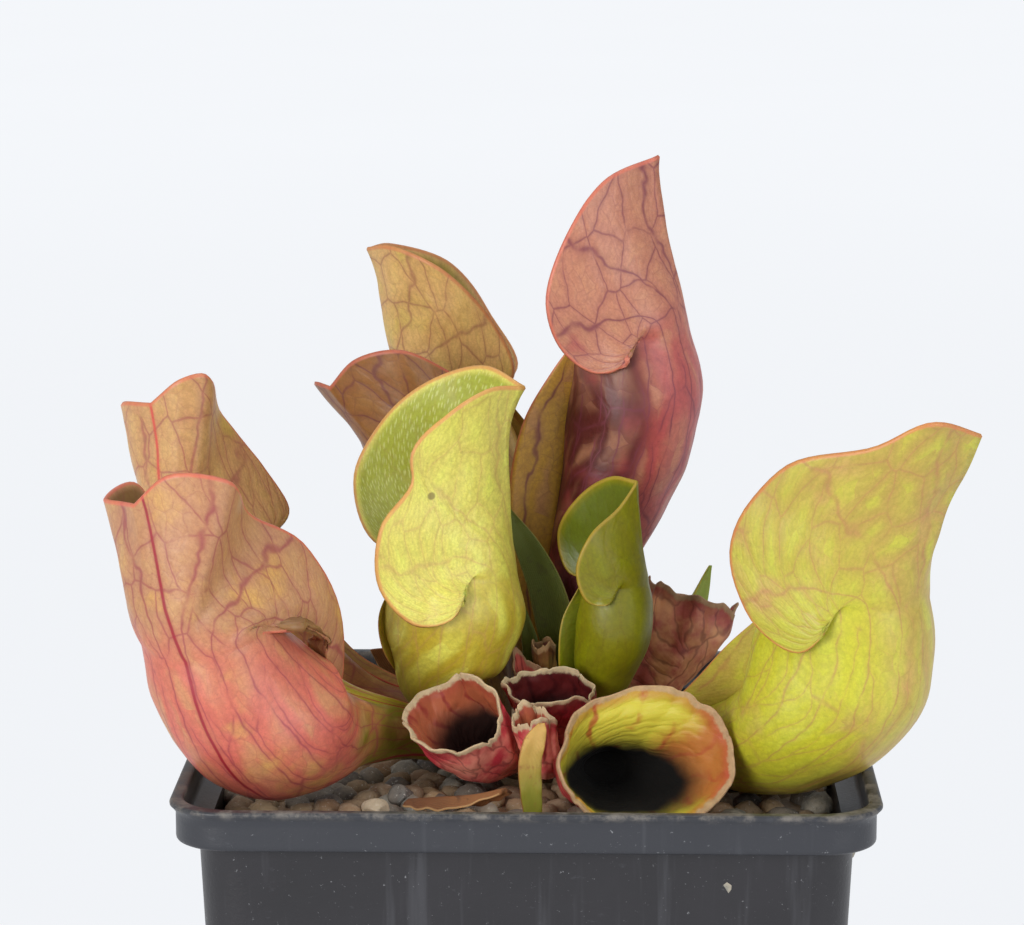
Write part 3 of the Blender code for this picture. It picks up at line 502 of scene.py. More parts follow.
def pitcher(name, finish, facing, hinge, lift, bulge, waist, spine, wing, tip, right, left, arch=None,
            seed=0.0, rows=64, hood_rows=44, over=97, front=22, thick=0.65):
    """Tube, hood and wing of one pitcher.

    spine: (x, y, z, half width, half depth) from the leaf base to the mouth; facing: azimuth of its back;
    lift, bulge, waist: how far the hood rises before it leans, swells sideways and draws in below its tip.
    tip: the hood's point; left, right: landmarks of each lobe's edge, shoulder to hinge, as (reach over
    the mouth, spread sideways, rise) from the mouth's middle; arch: height at which the left lobe is
    carried over the mouth's plane before it hangs down past the lip.
    """
    centre, wide, deep, back, side, dorsal, along = growth(spine, facing, rows)
    hinge = math.radians(hinge)
    lip = np.linspace(hinge, math.pi, front + 1)[1:]
    turn = np.concatenate([-lip[::-1], np.linspace(-hinge, hinge, over), lip[:-1]])
    tube = (centre[:, None] + wide[:, None, None] * np.sin(turn)[None, :, None] * side
            + deep[:, None, None] * np.cos(turn)[None, :, None] * dorsal[:, None])
    first, last = front, front + over
    root = tube[-1, first:last]
    half = np.linspace(0.0, 1.0, over // 2 + 1)

    def lobe(marks, end):
        local = np.array([tip] + marks, float)
        world = centre[-1] - local[:, :1] * back + local[:, 1:2] * side + local[:, 2:] * UP
        return flow(np.vstack([world, end]), half)

    margin = np.vstack([lobe(right, root[0])[::-1], lobe(left, root[-1])[1:]])
    share = np.abs(turn[first:last]) / hinge
    swell = (np.sign(turn[first:last]) * bulge * np.sin(math.pi * share))[:, None] * side
    raised = np.minimum(lift * (1 - share**3), 0.6 * np.linalg.norm(margin - root, axis=1))
    nip = (waist * (1 - share**2))[:, None] * back
    low = root + along[-1] * raised[:, None] + swell - 0.5 * nip
    high = root + 0.7 * (margin - root) + swell - nip
    axis = np.cross(dorsal[-1], side)
    if arch:
        short = np.maximum(arch - (high - centre[-1]) @ axis, 0.0)
        high = high + np.where(turn[first:last] > 0, short, 0.0)[:, None] * axis
    s = np.linspace(0.0, 1.0, hood_rows + 1)[1:, None, None]
    hood = (1 - s)**3 * root + 3 * (1 - s)**2 * s * low + 3 * (1 - s) * s**2 * high + s**3 * margin
    # Lobes that hang below the mouth are held clear of the tube's flank, most away from the hinge.
    flat = hood.reshape(-1, 3)
    apart = np.minimum(*[np.linalg.norm(flat - root[e], axis=1) for e in (0, -1)])
    offset = flat[:, None] - centre[None]
    level = np.argmin(np.abs(np.einsum("pkc,kc->pk", offset, along)), axis=1)
    near = offset[np.arange(len(flat)), level]
    a, d = near @ side, np.einsum("pc,pc->p", near, dorsal[level])
    room = np.minimum(2.0, 2.0 * apart / 3.0)
    within = np.hypot(a / (wide[level] + room), d / (deep[level] + room))
    under = np.clip(-((flat - centre[-1]) @ axis) / 2.0, 0, 1)
    push = (np.where(within < 1, 1 / np.maximum(within, 0.3) - 1, 0.0) * under)[:, None]
    hood = (flat + push * (a[:, None] * side + d[:, None] * dorsal[level])).reshape(hood.shape)

    columns = len(turn)
    sheet = np.vstack([tube.reshape(-1, 3), hood.reshape(-1, 3)])
    grid = np.arange(rows * columns).reshape(rows, columns)
    hood_grid = rows * columns + np.arange(hood_rows * over).reshape(hood_rows, over)
    hood_grid = np.vstack([grid[-1:, first:last], hood_grid])
    hood_grid[:, 0], hood_grid[:, -1] = grid[-1, first], grid[-1, last - 1]
    hood_quads = patch_quads(hood_grid)
    skin = np.vstack([tube_quads(grid), hood_quads])
    normal = point_normals(sheet, skin)
    grown = np.linspace(0, 1, rows)[:, None].repeat(columns, 1).ravel()
    hood_calm = np.clip((s[:, 0, 0] * 3)[:, None] * np.clip((1 - share) * 6, 0, 1), 0, 1)
    calm = np.concatenate([np.clip((1 - grown) * 8, 0, 1) * np.clip(grown * 4, 0, 1), hood_calm.ravel()])
    lumps = ruffle(sheet, 8.0, 0.5, seed) + ruffle(sheet, 3.0, 0.07, seed + 9)
    sheet = sheet + normal * (lumps * calm)[:, None]

    rim_line = np.concatenate([hood_grid[-1], grid[-1, last:], grid[-1, :first]])
    gap = np.concatenate([np.full(rows * columns, 30.0), np.zeros(hood_rows * over)])
    gap[:rows * columns] = ((rows - 1 - np.arange(rows)) * 1.2)[:, None].repeat(columns, 1).ravel()
    inner_edge = sheet[hood_grid[-1]]
    gap[rows * columns:] = np.linalg.norm(sheet[hood_grid[1:]] - inner_edge[None], axis=2).ravel()
    behind = (np.abs(turn) < hinge * 0.97)[None, :].repeat(rows, 0).ravel()
    gap[:rows * columns][behind] += 12.0
    fine_wall = np.concatenate([np.full(rows * columns, thick), np.clip(apart / 3.5, 0.25, 1.0) * thick])
    lining = sheet - point_normals(sheet, skin) * fine_wall[:, None]
    total = len(sheet)
    brim_out = unit(np.vstack([margin - hood[-2], np.tile(along[-1], (columns - over, 1))]))
    brim = (sheet[rim_line] + lining[rim_line]) / 2 + brim_out * thick * 0.45

    # A rounded edge closes the gap between skin and lining along the hood's margin and the mouth's lip.
    brim_ids = 2 * total + np.arange(len(rim_line))
    after = np.roll(np.arange(len(rim_line)), -1)
    skin_side = np.stack([rim_line, brim_ids, brim_ids[after], rim_line[after]], axis=1)
    lining_side = np.stack([brim_ids, total + rim_line, total + rim_line[after], brim_ids[after]], axis=1)
    edge_quads = np.vstack([skin_side, lining_side])
    solid_below = 5
    lining_quads = total + skin[np.min(skin, axis=1) >= solid_below * columns][:, ::-1]
    # Open rims wind the same way as the skin, so the lip is turned to face outward.
    faces = skin.tolist() + lining_quads.tolist() + edge_quads[:, ::-1].tolist()
    faces += [grid[0][::-1].tolist(), (total + grid[solid_below]).tolist()]
    points = np.vstack([sheet, lining, brim])

    tube_length = np.concatenate([[0], np.cumsum(np.linalg.norm(np.diff(centre, axis=0), axis=1))])
    reach = np.cumsum(np.linalg.norm(np.diff(np.concatenate([root[None], hood]), axis=0), axis=2), axis=0)
    arc_tube = turn[None] * (0.5 * (wide + deep))[:, None]
    spread = np.linalg.norm(np.diff(hood, axis=1), axis=2)
    spread = np.concatenate([np.zeros((hood_rows, 1)), np.cumsum(spread, axis=1)], axis=1)
    arc_hood = (spread - spread[:, over // 2][:, None])
    across = np.concatenate([arc_tube.ravel(), arc_hood.ravel()])
    length = np.concatenate([tube_length[:, None].repeat(columns, 1).ravel(),
                             (tube_length[-1] + reach).ravel()])
    level = np.concatenate([np.linspace(-1, 0, rows)[:, None].repeat(columns, 1).ravel(),
                            np.linspace(0, 1, hood_rows + 1)[1:, None].repeat(over, 1).ravel()])
    angle = np.concatenate([np.tile(turn, rows), np.tile(turn[first:last], hood_rows)]) / math.pi

    def doubled(row):
        return np.concatenate([row, row, row[rim_line]])

    corners, owner = by_corner(faces)
    turn_at, across_at = doubled(angle)[corners], doubled(across)[corners]
    highest = np.full(len(faces), -9.0)
    np.maximum.at(highest, owner, turn_at)
    crossing = (highest[owner] > 0.7) & (turn_at < -0.7)
    turn_at = np.where(crossing, turn_at + 2, turn_at)
    across_at = np.where(crossing, -across_at, across_at)
    uvs = {"sheet": np.stack([across_at, doubled(length)[corners]], axis=1) * 0.01,
           "ribs": np.stack([turn_at, doubled(level)[corners]], axis=1)}
    inside = np.concatenate([np.zeros(total), np.ones(total), np.full(len(rim_line), 0.5)])
    item = piece(name, points, faces, finish, uvs, {"lining": inside, "blade": np.zeros(len(points)),
                  "brink": doubled(gap) * np.where(inside == 0.5, 0.0, 1.0)})
    blade = wing_blade(name + "_wing", finish, centre, deep, side, dorsal, wing, rows)
    return item, blade


def wing_blade(name, finish, centre, deep, side, dorsal, wing, rows):
    """The thin keel down the pitcher's inner side, sunk half a millimetre into the tube."""
    free = flow(wing, np.linspace(0.0, 1.0, rows))
    held = centre - deep[:, None] * 0.95 * dorsal
    across = np.linspace(0, 1, 9)
    points, sheet, ribs = [], [], []
    for sign in (-1, 1):
        for t in across:
            thick = 0.5 * (0.8 + (0.45 - 0.8) * t) * (1 if t < 1 else 0.6)
            points.append(held + (free - held) * t + sign * thick * side)
            width = np.linalg.norm(free - held, axis=1)
            sheet.append(np.stack([width * t, np.arange(rows)], axis=1) * 0.01)
            ribs.append(np.stack([np.full(rows, 0.9 + 0.1 * t), np.linspace(-1, 0, rows)], axis=1))
    points = np.array(points)
    layers = len(across)
    order = list(range(layers)) + list(range(2 * layers - 1, layers - 1, -1))
    ids = np.arange(len(order) * rows).reshape(len(order), rows)
    faces = []
    for a, b in zip(order, order[1:] + order[:1]):
        faces += [(ids[a, k], ids[b, k], ids[b, k + 1], ids[a, k + 1]) for k in range(rows - 1)]
    faces += [[ids[a, 0] for a in order][::-1], [ids[a, -1] for a in order]]
    far = np.concatenate([(np.linalg.norm(free - held, axis=1) * (1 - t)) for t in across] * 2)
    return piece(name, points.reshape(-1, 3), faces, finish,
                 {"sheet": np.concatenate(sheet), "ribs": np.concatenate(ribs)},
                 {"lining": np.zeros(len(far)), "blade": np.ones(len(far)), "brink": far})


right_finish = leaf_finish("right_pitcher_leaf", (170, 168, 36), (198, 194, 48), (186, 178, 58),
                           (172, 98, 80),
                           (170, 176, 48), (206, 120, 76), keel=(186, 168, 72), veins=0.50, network=0.40,
                           ridge=(180, 144, 78), blush=((192, 158, 86), 0.50, 0.72))
for part in pitcher("right_pitcher", right_finish, facing=-30, hinge=76, lift=9, bulge=2.5, waist=0.5,
                    seed=1.0,
                    spine=[(19, -3, 117.6, 2.8, 3.0), (26, -9, 119.5, 5, 5), (35, -18, 122, 9.5, 8),
                           (42, -24.5, 126.4, 12.3, 11.0), (48.5, -27.5, 135, 13.4, 14.6),
                           (50.5, -29, 143.5, 12.4, 13.6), (50.5, -29.3, 149, 11.8, 12.6)],
                    wing=[(19, -2.5, 122), (23, -8, 126), (27, -12, 131), (32, -17, 138),
                          (38.5, -21.5, 145)],
                    tip=(-22, 0, 27),
                    right=[(-18, -10, 30), (-10, -13, 26), (4, -15, 22), (13, -16, 8), (8, -15, -4),
                           (2, -14, -7), (-2, -13, -4)],
                    left=[(-12, 9, 26), (2, 13, 20), (17, 14, 16), (25, 15, 2), (17, 13, -10)]):
    install(part, "pitcher_right", slot="pitcher_right")

# The tall pitcher stands highest, at the back right: crimson and maroon below, the maroon on its mouth side
# partly its own colour and partly painted shade under the hood; a dusty rose hood with a purple net of
# veins, and an olive wing striped with red.
tall_finish = leaf_finish("tall_pitcher_leaf", (128, 112, 40), (178, 80, 78), (184, 122, 96), (112, 44, 62),
                          (150, 110, 50), (206, 110, 88), keel=(206, 160, 60), veins=0.80, network=0.70,
                          maroon_throat_and_shade=(76, 16, 14), blush=((158, 62, 68), 0.54, 0.76))
for part in pitcher("tall_pitcher", tall_finish, facing=-5, hinge=80, lift=12, bulge=1.5, waist=2, seed=2.0,
                    spine=[(5, 9, 115.8, 2.6, 2.6), (6.5, 10.5, 130, 4.2, 4.2), (9.5, 12, 145, 6.8, 6.8),
                           (13, 12.5, 156, 9, 9), (16, 12.5, 166, 10.6, 10.6),
                           (17.3, 12.5, 175, 10.8, 10.8),
                           (16.5, 12, 184, 9.2, 9.6)],
                    wing=[(1.5, 8, 118), (-2, 9.5, 138), (-4, 10.5, 157), (-1.5, 11, 169.5),
                          (2.7, 11.5, 177),
                          (6.6, 12, 182.5)],
                    tip=(-4.5, 0, 29.5),
                    right=[(4, -7, 26), (10, -11, 17), (13, -12, 6), (10, -11, -2), (5, -11, -5),
                           (1, -10, -4)],
                    left=[(4, 7, 24), (10, 10, 14), (13, 12, 4), (6, 11, -4)]):
    install(part, "pitcher_tall", slot="pitcher_tall")

# The centre pitcher is the palest: yellow-green all over with faint pink veins and an orange edge.
# Its far lobe shows the hood's bristly bright green inner side.
centre_finish = leaf_finish("centre_pitcher_leaf", (160, 146, 36), (188, 168, 46), (220, 210, 100),
                            (184, 124, 92),
                            (184, 192, 62), (208, 130, 82), keel=(178, 158, 42), veins=0.40, network=0.32,
                            blush=((206, 190, 96), 0.55, 0.80), bristly=0.6, spot=(-15.6, 162.2))
for part in pitcher("centre_pitcher", centre_finish, facing=0, hinge=80, lift=9, bulge=1.5, waist=4,
                    seed=3.0,
                    spine=[(-7, 0, 115.8, 2.8, 3), (-11, -2, 122, 4.5, 5), (-14, -6, 129, 7, 7.5),
                           (-13.3, -8, 135.5, 10, 10.4), (-12.2, -8.5, 142.4, 10.8, 11.4),
                           (-11.4, -8, 148.5, 8.8, 9.4)],
                    wing=[(-11, -0.5, 118), (-19, -6, 127), (-24, -10, 135), (-24.6, -11, 141),
                          (-21.8, -9, 147)],
                    tip=(-10.5, 0, 29.5),
                    right=[(-5, -6, 30), (1, -10, 27), (7, -12, 21), (7, -12, 16), (12, -14, 9),
                           (12, -14, -1),
                           (6, -13, -7), (1, -12, -6)],
                    left=[(-4, 6, 32), (5, 10, 29), (13, 13, 22), (18, 14, 12), (15, 12, 2), (6, 10, -1)]):
    install(part, "pitcher_centre", slot="pitcher_centre")

# The young pitcher has only just opened: small, olive green, with its veins hardly coloured yet.
young_finish = leaf_finish("young_pitcher_leaf", (100, 104, 14), (124, 122, 10), (128, 124, 2),
                           (112, 84, 24),
                           (104, 118, 22), (170, 140, 50), keel=(108, 116, 20), veins=0.22, network=0.20)
for part in pitcher("young_pitcher", young_finish, facing=-10, hinge=78, lift=6, bulge=1.2, waist=0.5,
                    seed=4.0, thick=0.5,
                    spine=[(10, -1, 115.8, 2.0, 2.0), (10.5, -3, 124, 3, 3), (12, -6, 131, 5, 5),
                           (13.6, -8, 138, 6, 6.2), (14, -8.5, 143, 5.4, 5.8), (13.9, -8.6, 146, 4.8, 5.4)],
                    wing=[(7.5, -1.5, 117), (5.2, -5, 127), (4.6, -8, 134), (5.2, -8.5, 140),
                          (7.8, -8.6, 145.3)],
                    tip=(-3.5, 0, 17),
                    right=[(-1, -3, 13), (3, -7, 9), (5, -8, 3), (3, -7, -2), (0, -6, -2)],
                    left=[(1, 3, 17), (7, 6, 13), (11, 8, 6), (9, 7, 0)]):
    install(part, "pitcher_young", slot="pitcher_young")

# The big left pitcher turns its back outward: tan-orange hood under a mauve net, a rosy body with darker
# lengthwise veins, a deep red midrib, and the dimple where its right lobe folds in.
left_finish = leaf_finish("front_left_pitcher_leaf", (112, 120, 12), (206, 106, 88), (186, 136, 96),
                          (142, 46, 66),
                          (150, 112, 66), (212, 104, 84), keel=(150, 144, 28), veins=0.72, network=0.62,
                          rib=(150, 26, 44), rib_at=0.024, green_to=(-0.66, -0.42),
                          blush=((210, 164, 88), 0.52, 0.74))
for part in pitcher("front_left_pitcher", left_finish, facing=-119, hinge=96, lift=9, bulge=1.5, waist=0.5,
                    arch=1, seed=5.0,
                    spine=[(-9, -7, 116.2, 2.6, 2.8), (-14, -11, 119.6, 3, 3.2), (-21, -16, 122.4, 3.4, 4),
                           (-28, -21.5, 124.2, 5, 5.6), (-35.5, -28, 125.6, 9.6, 9.6),
                           (-41, -32.5, 129.2, 13.6, 13), (-46.3, -35, 136.5, 12.8, 12.6),
                           (-50.2, -36.3, 144.5, 10.4, 9.8)],
                    wing=[(-8, -5.5, 119), (-14, -9.5, 124), (-21, -14, 127.5), (-29, -18.5, 131.5),
                          (-36, -21.5, 137.5), (-42, -25.5, 143.5)],
                    tip=(-10, -6, 20.5),
                    right=[(-4, -16, 19.5), (8, -19, 19.5), (16, -18, 6), (10, -12, -3)],
                    left=[(-9, 0, 25.5), (-4, 8, 24.5), (6, 5, 17.5), (15, 9, 11.5), (19, 13, 0),
                          (19, 11, -14),
                          (13, 7, -9), (8, 9.5, -1)]):
    install(part, "pitcher_left_front", slot="pitcher_left_front")

# The left rear pitcher looks over its neighbour's shoulder, orange-tan with a yellow-green lobe.
rear_finish = leaf_finish("rear_left_pitcher_leaf", (140, 92, 50), (190, 130, 84), (200, 152, 100),
                          (150, 62, 74),
                          (196, 150, 76), (206, 112, 84), keel=(174, 136, 66), veins=0.62, network=0.60,
                          rib=(206, 84, 70), blush=((202, 172, 82), 0.52, 0.76))
for part in pitcher("rear_left_pitcher", rear_finish, facing=-119, hinge=76, lift=9, bulge=1.2, waist=1,
                    seed=6.0,
                    spine=[(-10, 5, 117.6, 2.4, 2.6), (-20, 5.6, 121.4, 2.6, 2.6), (-30, 6, 125.4, 3.4, 3),
                           (-40, 6, 130.5, 7.6, 7), (-48.5, 5.5, 138.5, 9.8, 9.6), (-54, 5, 149, 8.6, 8.6)],
                    wing=[(-10, 7, 120.6), (-19.5, 8, 124.8), (-29, 9, 129.6), (-38, 13, 138.5),
                          (-49.5, 13.5, 148.5)],
                    tip=(-10, -4, 25),
                    right=[(-7, -12, 24), (3, -17, 18), (9, -16, 7), (6, -11, 2)],
                    left=[(-9, 1, 29), (-6, 4, 30), (2, 2, 22), (9, 5, 13), (11, 9, 5), (6, 9, 2)]):
    install(part, "pitcher_left_rear", slot="pitcher_left_rear")

# The middle left pitcher leans back among the others, brown-mauve and closely netted.
mauve_finish = leaf_finish("middle_left_pitcher_leaf", (130, 100, 44), (142, 94, 50), (146, 96, 46),
                           (100, 38, 46),
                           (150, 112, 50), (190, 100, 78), keel=(140, 104, 52), veins=0.75, network=0.75)
for part in pitcher("middle_left_pitcher", mauve_finish, facing=-119, hinge=76, lift=8, bulge=1.2, waist=1,
                    seed=7.0,
                    spine=[(-6, 9, 116, 2.4, 2.6), (-8, 13, 126, 4.6, 4.8), (-11, 16, 138, 7.6, 7.6),
                           (-14, 18, 149, 9, 9), (-18, 18, 159, 8.4, 8.4)],
                    wing=[(-4, 11.5, 118), (-3.5, 18, 130), (-4.5, 22.5, 142), (-7.5, 25.5, 152),
                          (-14, 25.8, 158.3)],
                    tip=(-10, -13, 15),
                    right=[(-7, -18, 15), (5, -19, 9), (9, -14, -2)],
                    left=[(-10, -8, 20), (-8, 0, 22), (-1, 5, 18), (8, 9, 10), (9, 9, 1)]):
    install(part, "pitcher_middle_left", slot="pitcher_middle_left")

# The middle rear pitcher faces away: an olive-tan hood with brown veins above the others.
olive_finish = leaf_finish("middle_rear_pitcher_leaf", (136, 118, 46), (180, 140, 66), (210, 166, 100),
                           (140, 74, 64),
                           (188, 164, 62), (190, 112, 68), keel=(164, 136, 58), veins=0.60, network=0.60,
                           blush=((200, 176, 78), 0.50, 0.75))
for part in pitcher("middle_rear_pitcher", olive_finish, facing=-170, hinge=78, lift=8, bulge=1.2, waist=2,
                    seed=8.0,
                    spine=[(1, 16, 115.4, 2.4, 2.6), (0, 24, 128, 4.6, 4.6), (-4, 32, 142, 7.4, 7.4),
                           (-10.5, 36.5, 156, 9, 9), (-14.5, 37.5, 166, 8.8, 8.8),
                           (-16.5, 37.5, 173, 8.2, 8.4)],
                    wing=[(3.6, 16.5, 118), (6.5, 25, 132), (6, 33, 147), (1.5, 37, 160),
                          (-7, 37.5, 171.3)],
                    tip=(-13, 0, 22),
                    right=[(-8, -6, 22), (3, -10, 18), (10, -12, 9), (15, -12, -1), (9, -9, -5)],
                    left=[(-10, 6, 23), (-2, 11, 20), (7, 12, 11), (11, 11, 1), (4, 9, -4)]):
    install(part, "pitcher_middle_rear", slot="pitcher_middle_rear")


# ------------------------------------------------------------------ Old pitchers
# Last season's pitchers, cut short or torn: open crimson cups with painted dark shade in their depths.
# Their rims have dried to a frayed tan edge, and their walls have wrinkled lengthwise as they lost water.
# depth is the dark colour painted into the bottom of each cup as shade.
def old_finish(name, outside, flush, inside, stripe, depth, rim, dry=0.9, shade_sink=0.0, warm=None):
    cup = Finish(name, Subsurface_Weight=0.06, Subsurface_Scale=0.001, Specular_IOR_Level=0.3)
    where = cup.place()
    ribs = cup.uv("ribs")
    sheet = cup.uv("sheet")
    turn, level = cup.split(ribs, 0), cup.split(ribs, 1)
    lining = cup.attribute("lining")
    brink = cup.attribute("brink")
    patch = cup.grain(where, 150.0, 4.0, 0.6)
    rough = cup.grain(where, 700.0, 4.0, 0.7)
    drift = cup.grain(where, 220.0, 2.0, 0.5, out="Color")
    bent = cup.shift(sheet, cup.stretch(cup.shift(drift, (-0.5, -0.5, -0.5)), (0.05, 0.05, 0.0)))
    net = cup.cells(cup.stretch(bent, (26.0, 14.0, 1.0)), 1.0, dimensions="2D")
    line = (turn * 11.0 + cup.split(drift, 0) * 1.1).fold()
    stripes = cup.step(line, 0.17, 0.02) * cup.step(patch, 0.38, 0.58)
    tone = cup.mix(cup.step(patch, 0.38, 0.64), rgb(*outside), rgb(*flush))
    tone = cup.mix(cup.step(net, 0.09, 0.0) * 0.5, tone, rgb(*[c * 0.5 for c in outside]))
    inner = cup.mix(stripes * 0.75, rgb(*inside), rgb(*stripe))
    round_turn = turn * (2 * math.pi)
    lower = round_turn.math("COSINE", round_turn)
    if warm:
        right = round_turn.math("SINE", round_turn)
        inner = cup.mix(cup.step(right + (patch - 0.5) * 0.8, 0.35, 0.85) * 0.85, inner, rgb(*warm))
    # Painted shade in the hollow: the inside darkens to the depth colour toward the bottom of the cup, and
    # further toward its low side where the cup is tilted.
    hollow_shade = cup.step(level - lower * shade_sink + (patch - 0.5) * 0.12, 0.80, 0.50)
    inner = cup.mix(hollow_shade, inner, rgb(*depth))
    tone = cup.mix(cup.step(lining, 0.4, 0.6), tone, inner)
    band = brink + (rough - 0.5) * 1.3 + (patch - 0.5) * 1.2
    tone = cup.mix(cup.step(band, 3.2, 1.0) * 0.45, tone, rgb(*stripe))
    dried = cup.mix(rough, rgb(*rim), rgb(*[c * 0.62 for c in rim]))
    tone = cup.mix(cup.step(band, 1.05, 0.45) * dry, tone, dried)
    cup.put("Base Color", tone)
    cup.put("Roughness", 0.42 + patch * 0.12 + (cup.step(band, 1.4, 0.5) * 0.35).larger(hollow_shade * lining
                                                                                        * 0.45))
    wrinkles = cup.grain(cup.stretch(sheet, (1.0, 0.12, 1.0)), 90.0, 3.0)
    cup.bump(rough * 0.35 + cup.step(net, 0.0, 0.3) * 0.5 + wrinkles * 0.5, 0.35, 0.0005)
    return cup


def old_cup(name, finish, spine, facing, cut, seed, thick=0.8, fray=0.55, fold=0.35, rows=44, columns=144):
    """An open cup whose rim rises and falls by cut(angle) millimetres, with a torn edge."""
    centre, wide, deep, _, side, dorsal, along = growth(spine, facing, rows)
    turn = np.linspace(0.0, 2 * math.pi, columns, endpoint=False)
    grown = np.linspace(0.0, 1.0, rows)
    ring = np.stack([np.cos(turn), np.sin(turn), np.zeros(columns)], axis=1)
    torn = np.array([cut(a) for a in turn]) + ruffle(ring * 9, 4.0, 1.6 * fray, seed + 5)
    torn -= np.maximum(ruffle(ring * 9, 1.3, 1.0, seed) - 0.28, 0) * 5 * fray
    pleat = fold * (np.sin(7 * turn + seed) * 0.6 + np.sin(13 * turn + 2 * seed) * 0.4)
    swell = 1 + (pleat[None] * grown[:, None] ** 1.5) / np.maximum(wide, deep)[:, None]
    outer = (centre[:, None] + (wide[:, None] * swell * np.sin(turn))[..., None] * side
             + (deep[:, None] * swell * np.cos(turn))[..., None] * dorsal[:, None]
             + along[:, None] * (torn[None] * grown[:, None] ** 4)[..., None])
    grid = np.arange(rows * columns).reshape(rows, columns)
    wrap = np.roll(grid, -1, axis=1)
    skin = tube_quads(grid)
    sheet = outer.reshape(-1, 3)
    normal = point_normals(sheet, skin)
    calm = np.clip(grown * 5, 0, 1)[:, None].repeat(columns, 1).ravel()
    lumps = ruffle(sheet, 3.5, 0.4, seed) + ruffle(sheet, 1.4, 0.12, seed + 3)
    sheet = sheet + normal * (lumps * calm)[:, None]
    far = np.concatenate([np.linalg.norm(np.diff(sheet.reshape(rows, columns, 3), axis=0), axis=2),
                          np.zeros((1, columns))])[::-1].cumsum(axis=0)[::-1]
    wall_here = (thick * np.clip(0.45 + far / 3.0, 0.45, 1.0)).ravel()
    lining = sheet - point_normals(sheet, skin) * wall_here[:, None]
    total, floor_row = len(sheet), 7
    edge = (sheet[grid[-1]] + lining[grid[-1]]) / 2 + along[-1] * 0.22
    brim = 2 * total + np.arange(columns)
    after = np.roll(brim, -1)
    faces = skin.tolist() + (total + skin[skin.min(axis=1) >= floor_row * columns][:, ::-1]).tolist()
    faces += np.stack([grid[-1], wrap[-1], after, brim], axis=1).tolist()
    faces += np.stack([brim, after, total + wrap[-1], total + grid[-1]], axis=1).tolist()
    faces += [grid[0][::-1].tolist(), (total + grid[floor_row]).tolist()]

    def doubled(row):
        return np.concatenate([row, row, row[grid[-1]]])

    corners, owner = by_corner(faces)
    angle = doubled(np.tile(turn / (2 * math.pi), rows))[corners]
    highest = np.zeros(len(faces))
    np.maximum.at(highest, owner, angle)
    angle = np.where((highest[owner] > 0.8) & (angle < 0.2), angle + 1, angle)
    girth = doubled((math.pi * (wide + deep))[:, None].repeat(columns, 1).ravel())[corners]
    level = doubled(grown[:, None].repeat(columns, 1).ravel())
    length = doubled(far.max() - far.ravel())
    uvs = {"sheet": np.stack([angle * girth, length[corners]], axis=1) * 0.01,
           "ribs": np.stack([angle, level[corners]], axis=1)}
    inside = np.concatenate([np.zeros(total), np.ones(total), np.full(columns, 0.5)])
    return piece(name, np.vstack([sheet, lining, edge]), faces, finish, uvs,
                 {"lining": inside, "brink": doubled(far.ravel()) * (inside != 0.5)})


# The biggest stump leans over the front of the pot, cut straight across: yellow-green inside, striped red.
# Its near-black depth is painted shade, reaching highest on the cup's low side.
ring_finish = old_finish("cut_ring_leaf", (166, 44, 58), (206, 120, 96), (196, 184, 62), (164, 44, 40),
                         (6, 4, 3),
                         (206, 172, 130), shade_sink=0.17, warm=(176, 92, 52))
install(old_cup("cut_pitcher_ring", ring_finish,
                [(11, -13, 117, 2.6, 2.6), (13.2, -20, 118, 6, 4), (15.2, -26.5, 119.3, 10, 6.2),
                 (17.2, -31.5, 121.4, 13, 9.4), (18.8, -34.5, 123.6, 14.1, 12.3)], -90,
                lambda a: 0.6 * math.sin(3 * a + 0.4) + 0.4 * math.sin(5 * a), 11.0, thick=1.0),
        "old_pitcher_front_right", slot="old_pitcher_front_right")

# Torn crimson and maroon cups and a dry tube crowd behind and beside it.
crimson_finish = old_finish("torn_crimson_leaf", (204, 60, 74), (236, 148, 128), (176, 98, 66),
                            (136, 40, 40),
                            (40, 18, 12), (226, 204, 162))
# The folded cup's inside is painted far darker than the other crimson cups': painted shade within the fold.
folded_finish = old_finish("folded_crimson_leaf", (156, 44, 54), (190, 96, 88), (96, 30, 30), (64, 14, 18),
                           (34, 12, 10), (226, 204, 162))
install(old_cup("torn_cup_left", crimson_finish,
                [(-2.5, -9.5, 116.8, 2.2, 2.2), (-5, -15, 119.2, 4.8, 4.2), (-8.8, -20.5, 122.5, 6.8, 6.8),
                 (-12.3, -25, 128.3, 8.0, 8)], -95,
                lambda a: 0.8 * math.cos(2 * a + 0.8) - 2.4 * math.exp(-((a - 3.6) / 0.5) ** 2), 12.0),
        "old_pitcher_front_left", slot="old_pitcher_front_left")
install(old_cup("torn_cup_middle", crimson_finish,
                [(3.0, -13, 116.6, 1.6, 1.6), (2.4, -19, 118.4, 2.6, 2.4), (1.6, -22.8, 122, 3.2, 2.8),
                 (0.8, -24.4, 127.6, 3.6, 3.2)], -80, lambda a: 1.2 * math.sin(2 * a + 1.0), 13.0,
                thick=0.6),
        "old_pitcher_front_middle", slot="old_pitcher_front_middle")
install(old_cup("torn_cup_folded", folded_finish,
                [(5.5, -7.6, 116.2, 2.2, 2.0), (4.9, -9.6, 121, 4.2, 2.8), (4.0, -12.2, 126, 6.6, 3.8),
                 (3.2, -15.4, 130.4, 7.4, 4.6)], -82,
                lambda a: 0.7 * math.sin(3 * a) + 0.9 * math.cos(a + 0.5), 14.0, thick=0.6, fold=0.5),
        "old_pitcher_folded", slot="old_pitcher_folded")
maroon_finish = old_finish("torn_maroon_leaf", (166, 82, 72), (206, 146, 104), (200, 96, 84), (118, 40, 40),
                           (48, 22, 16), (172, 140, 104))
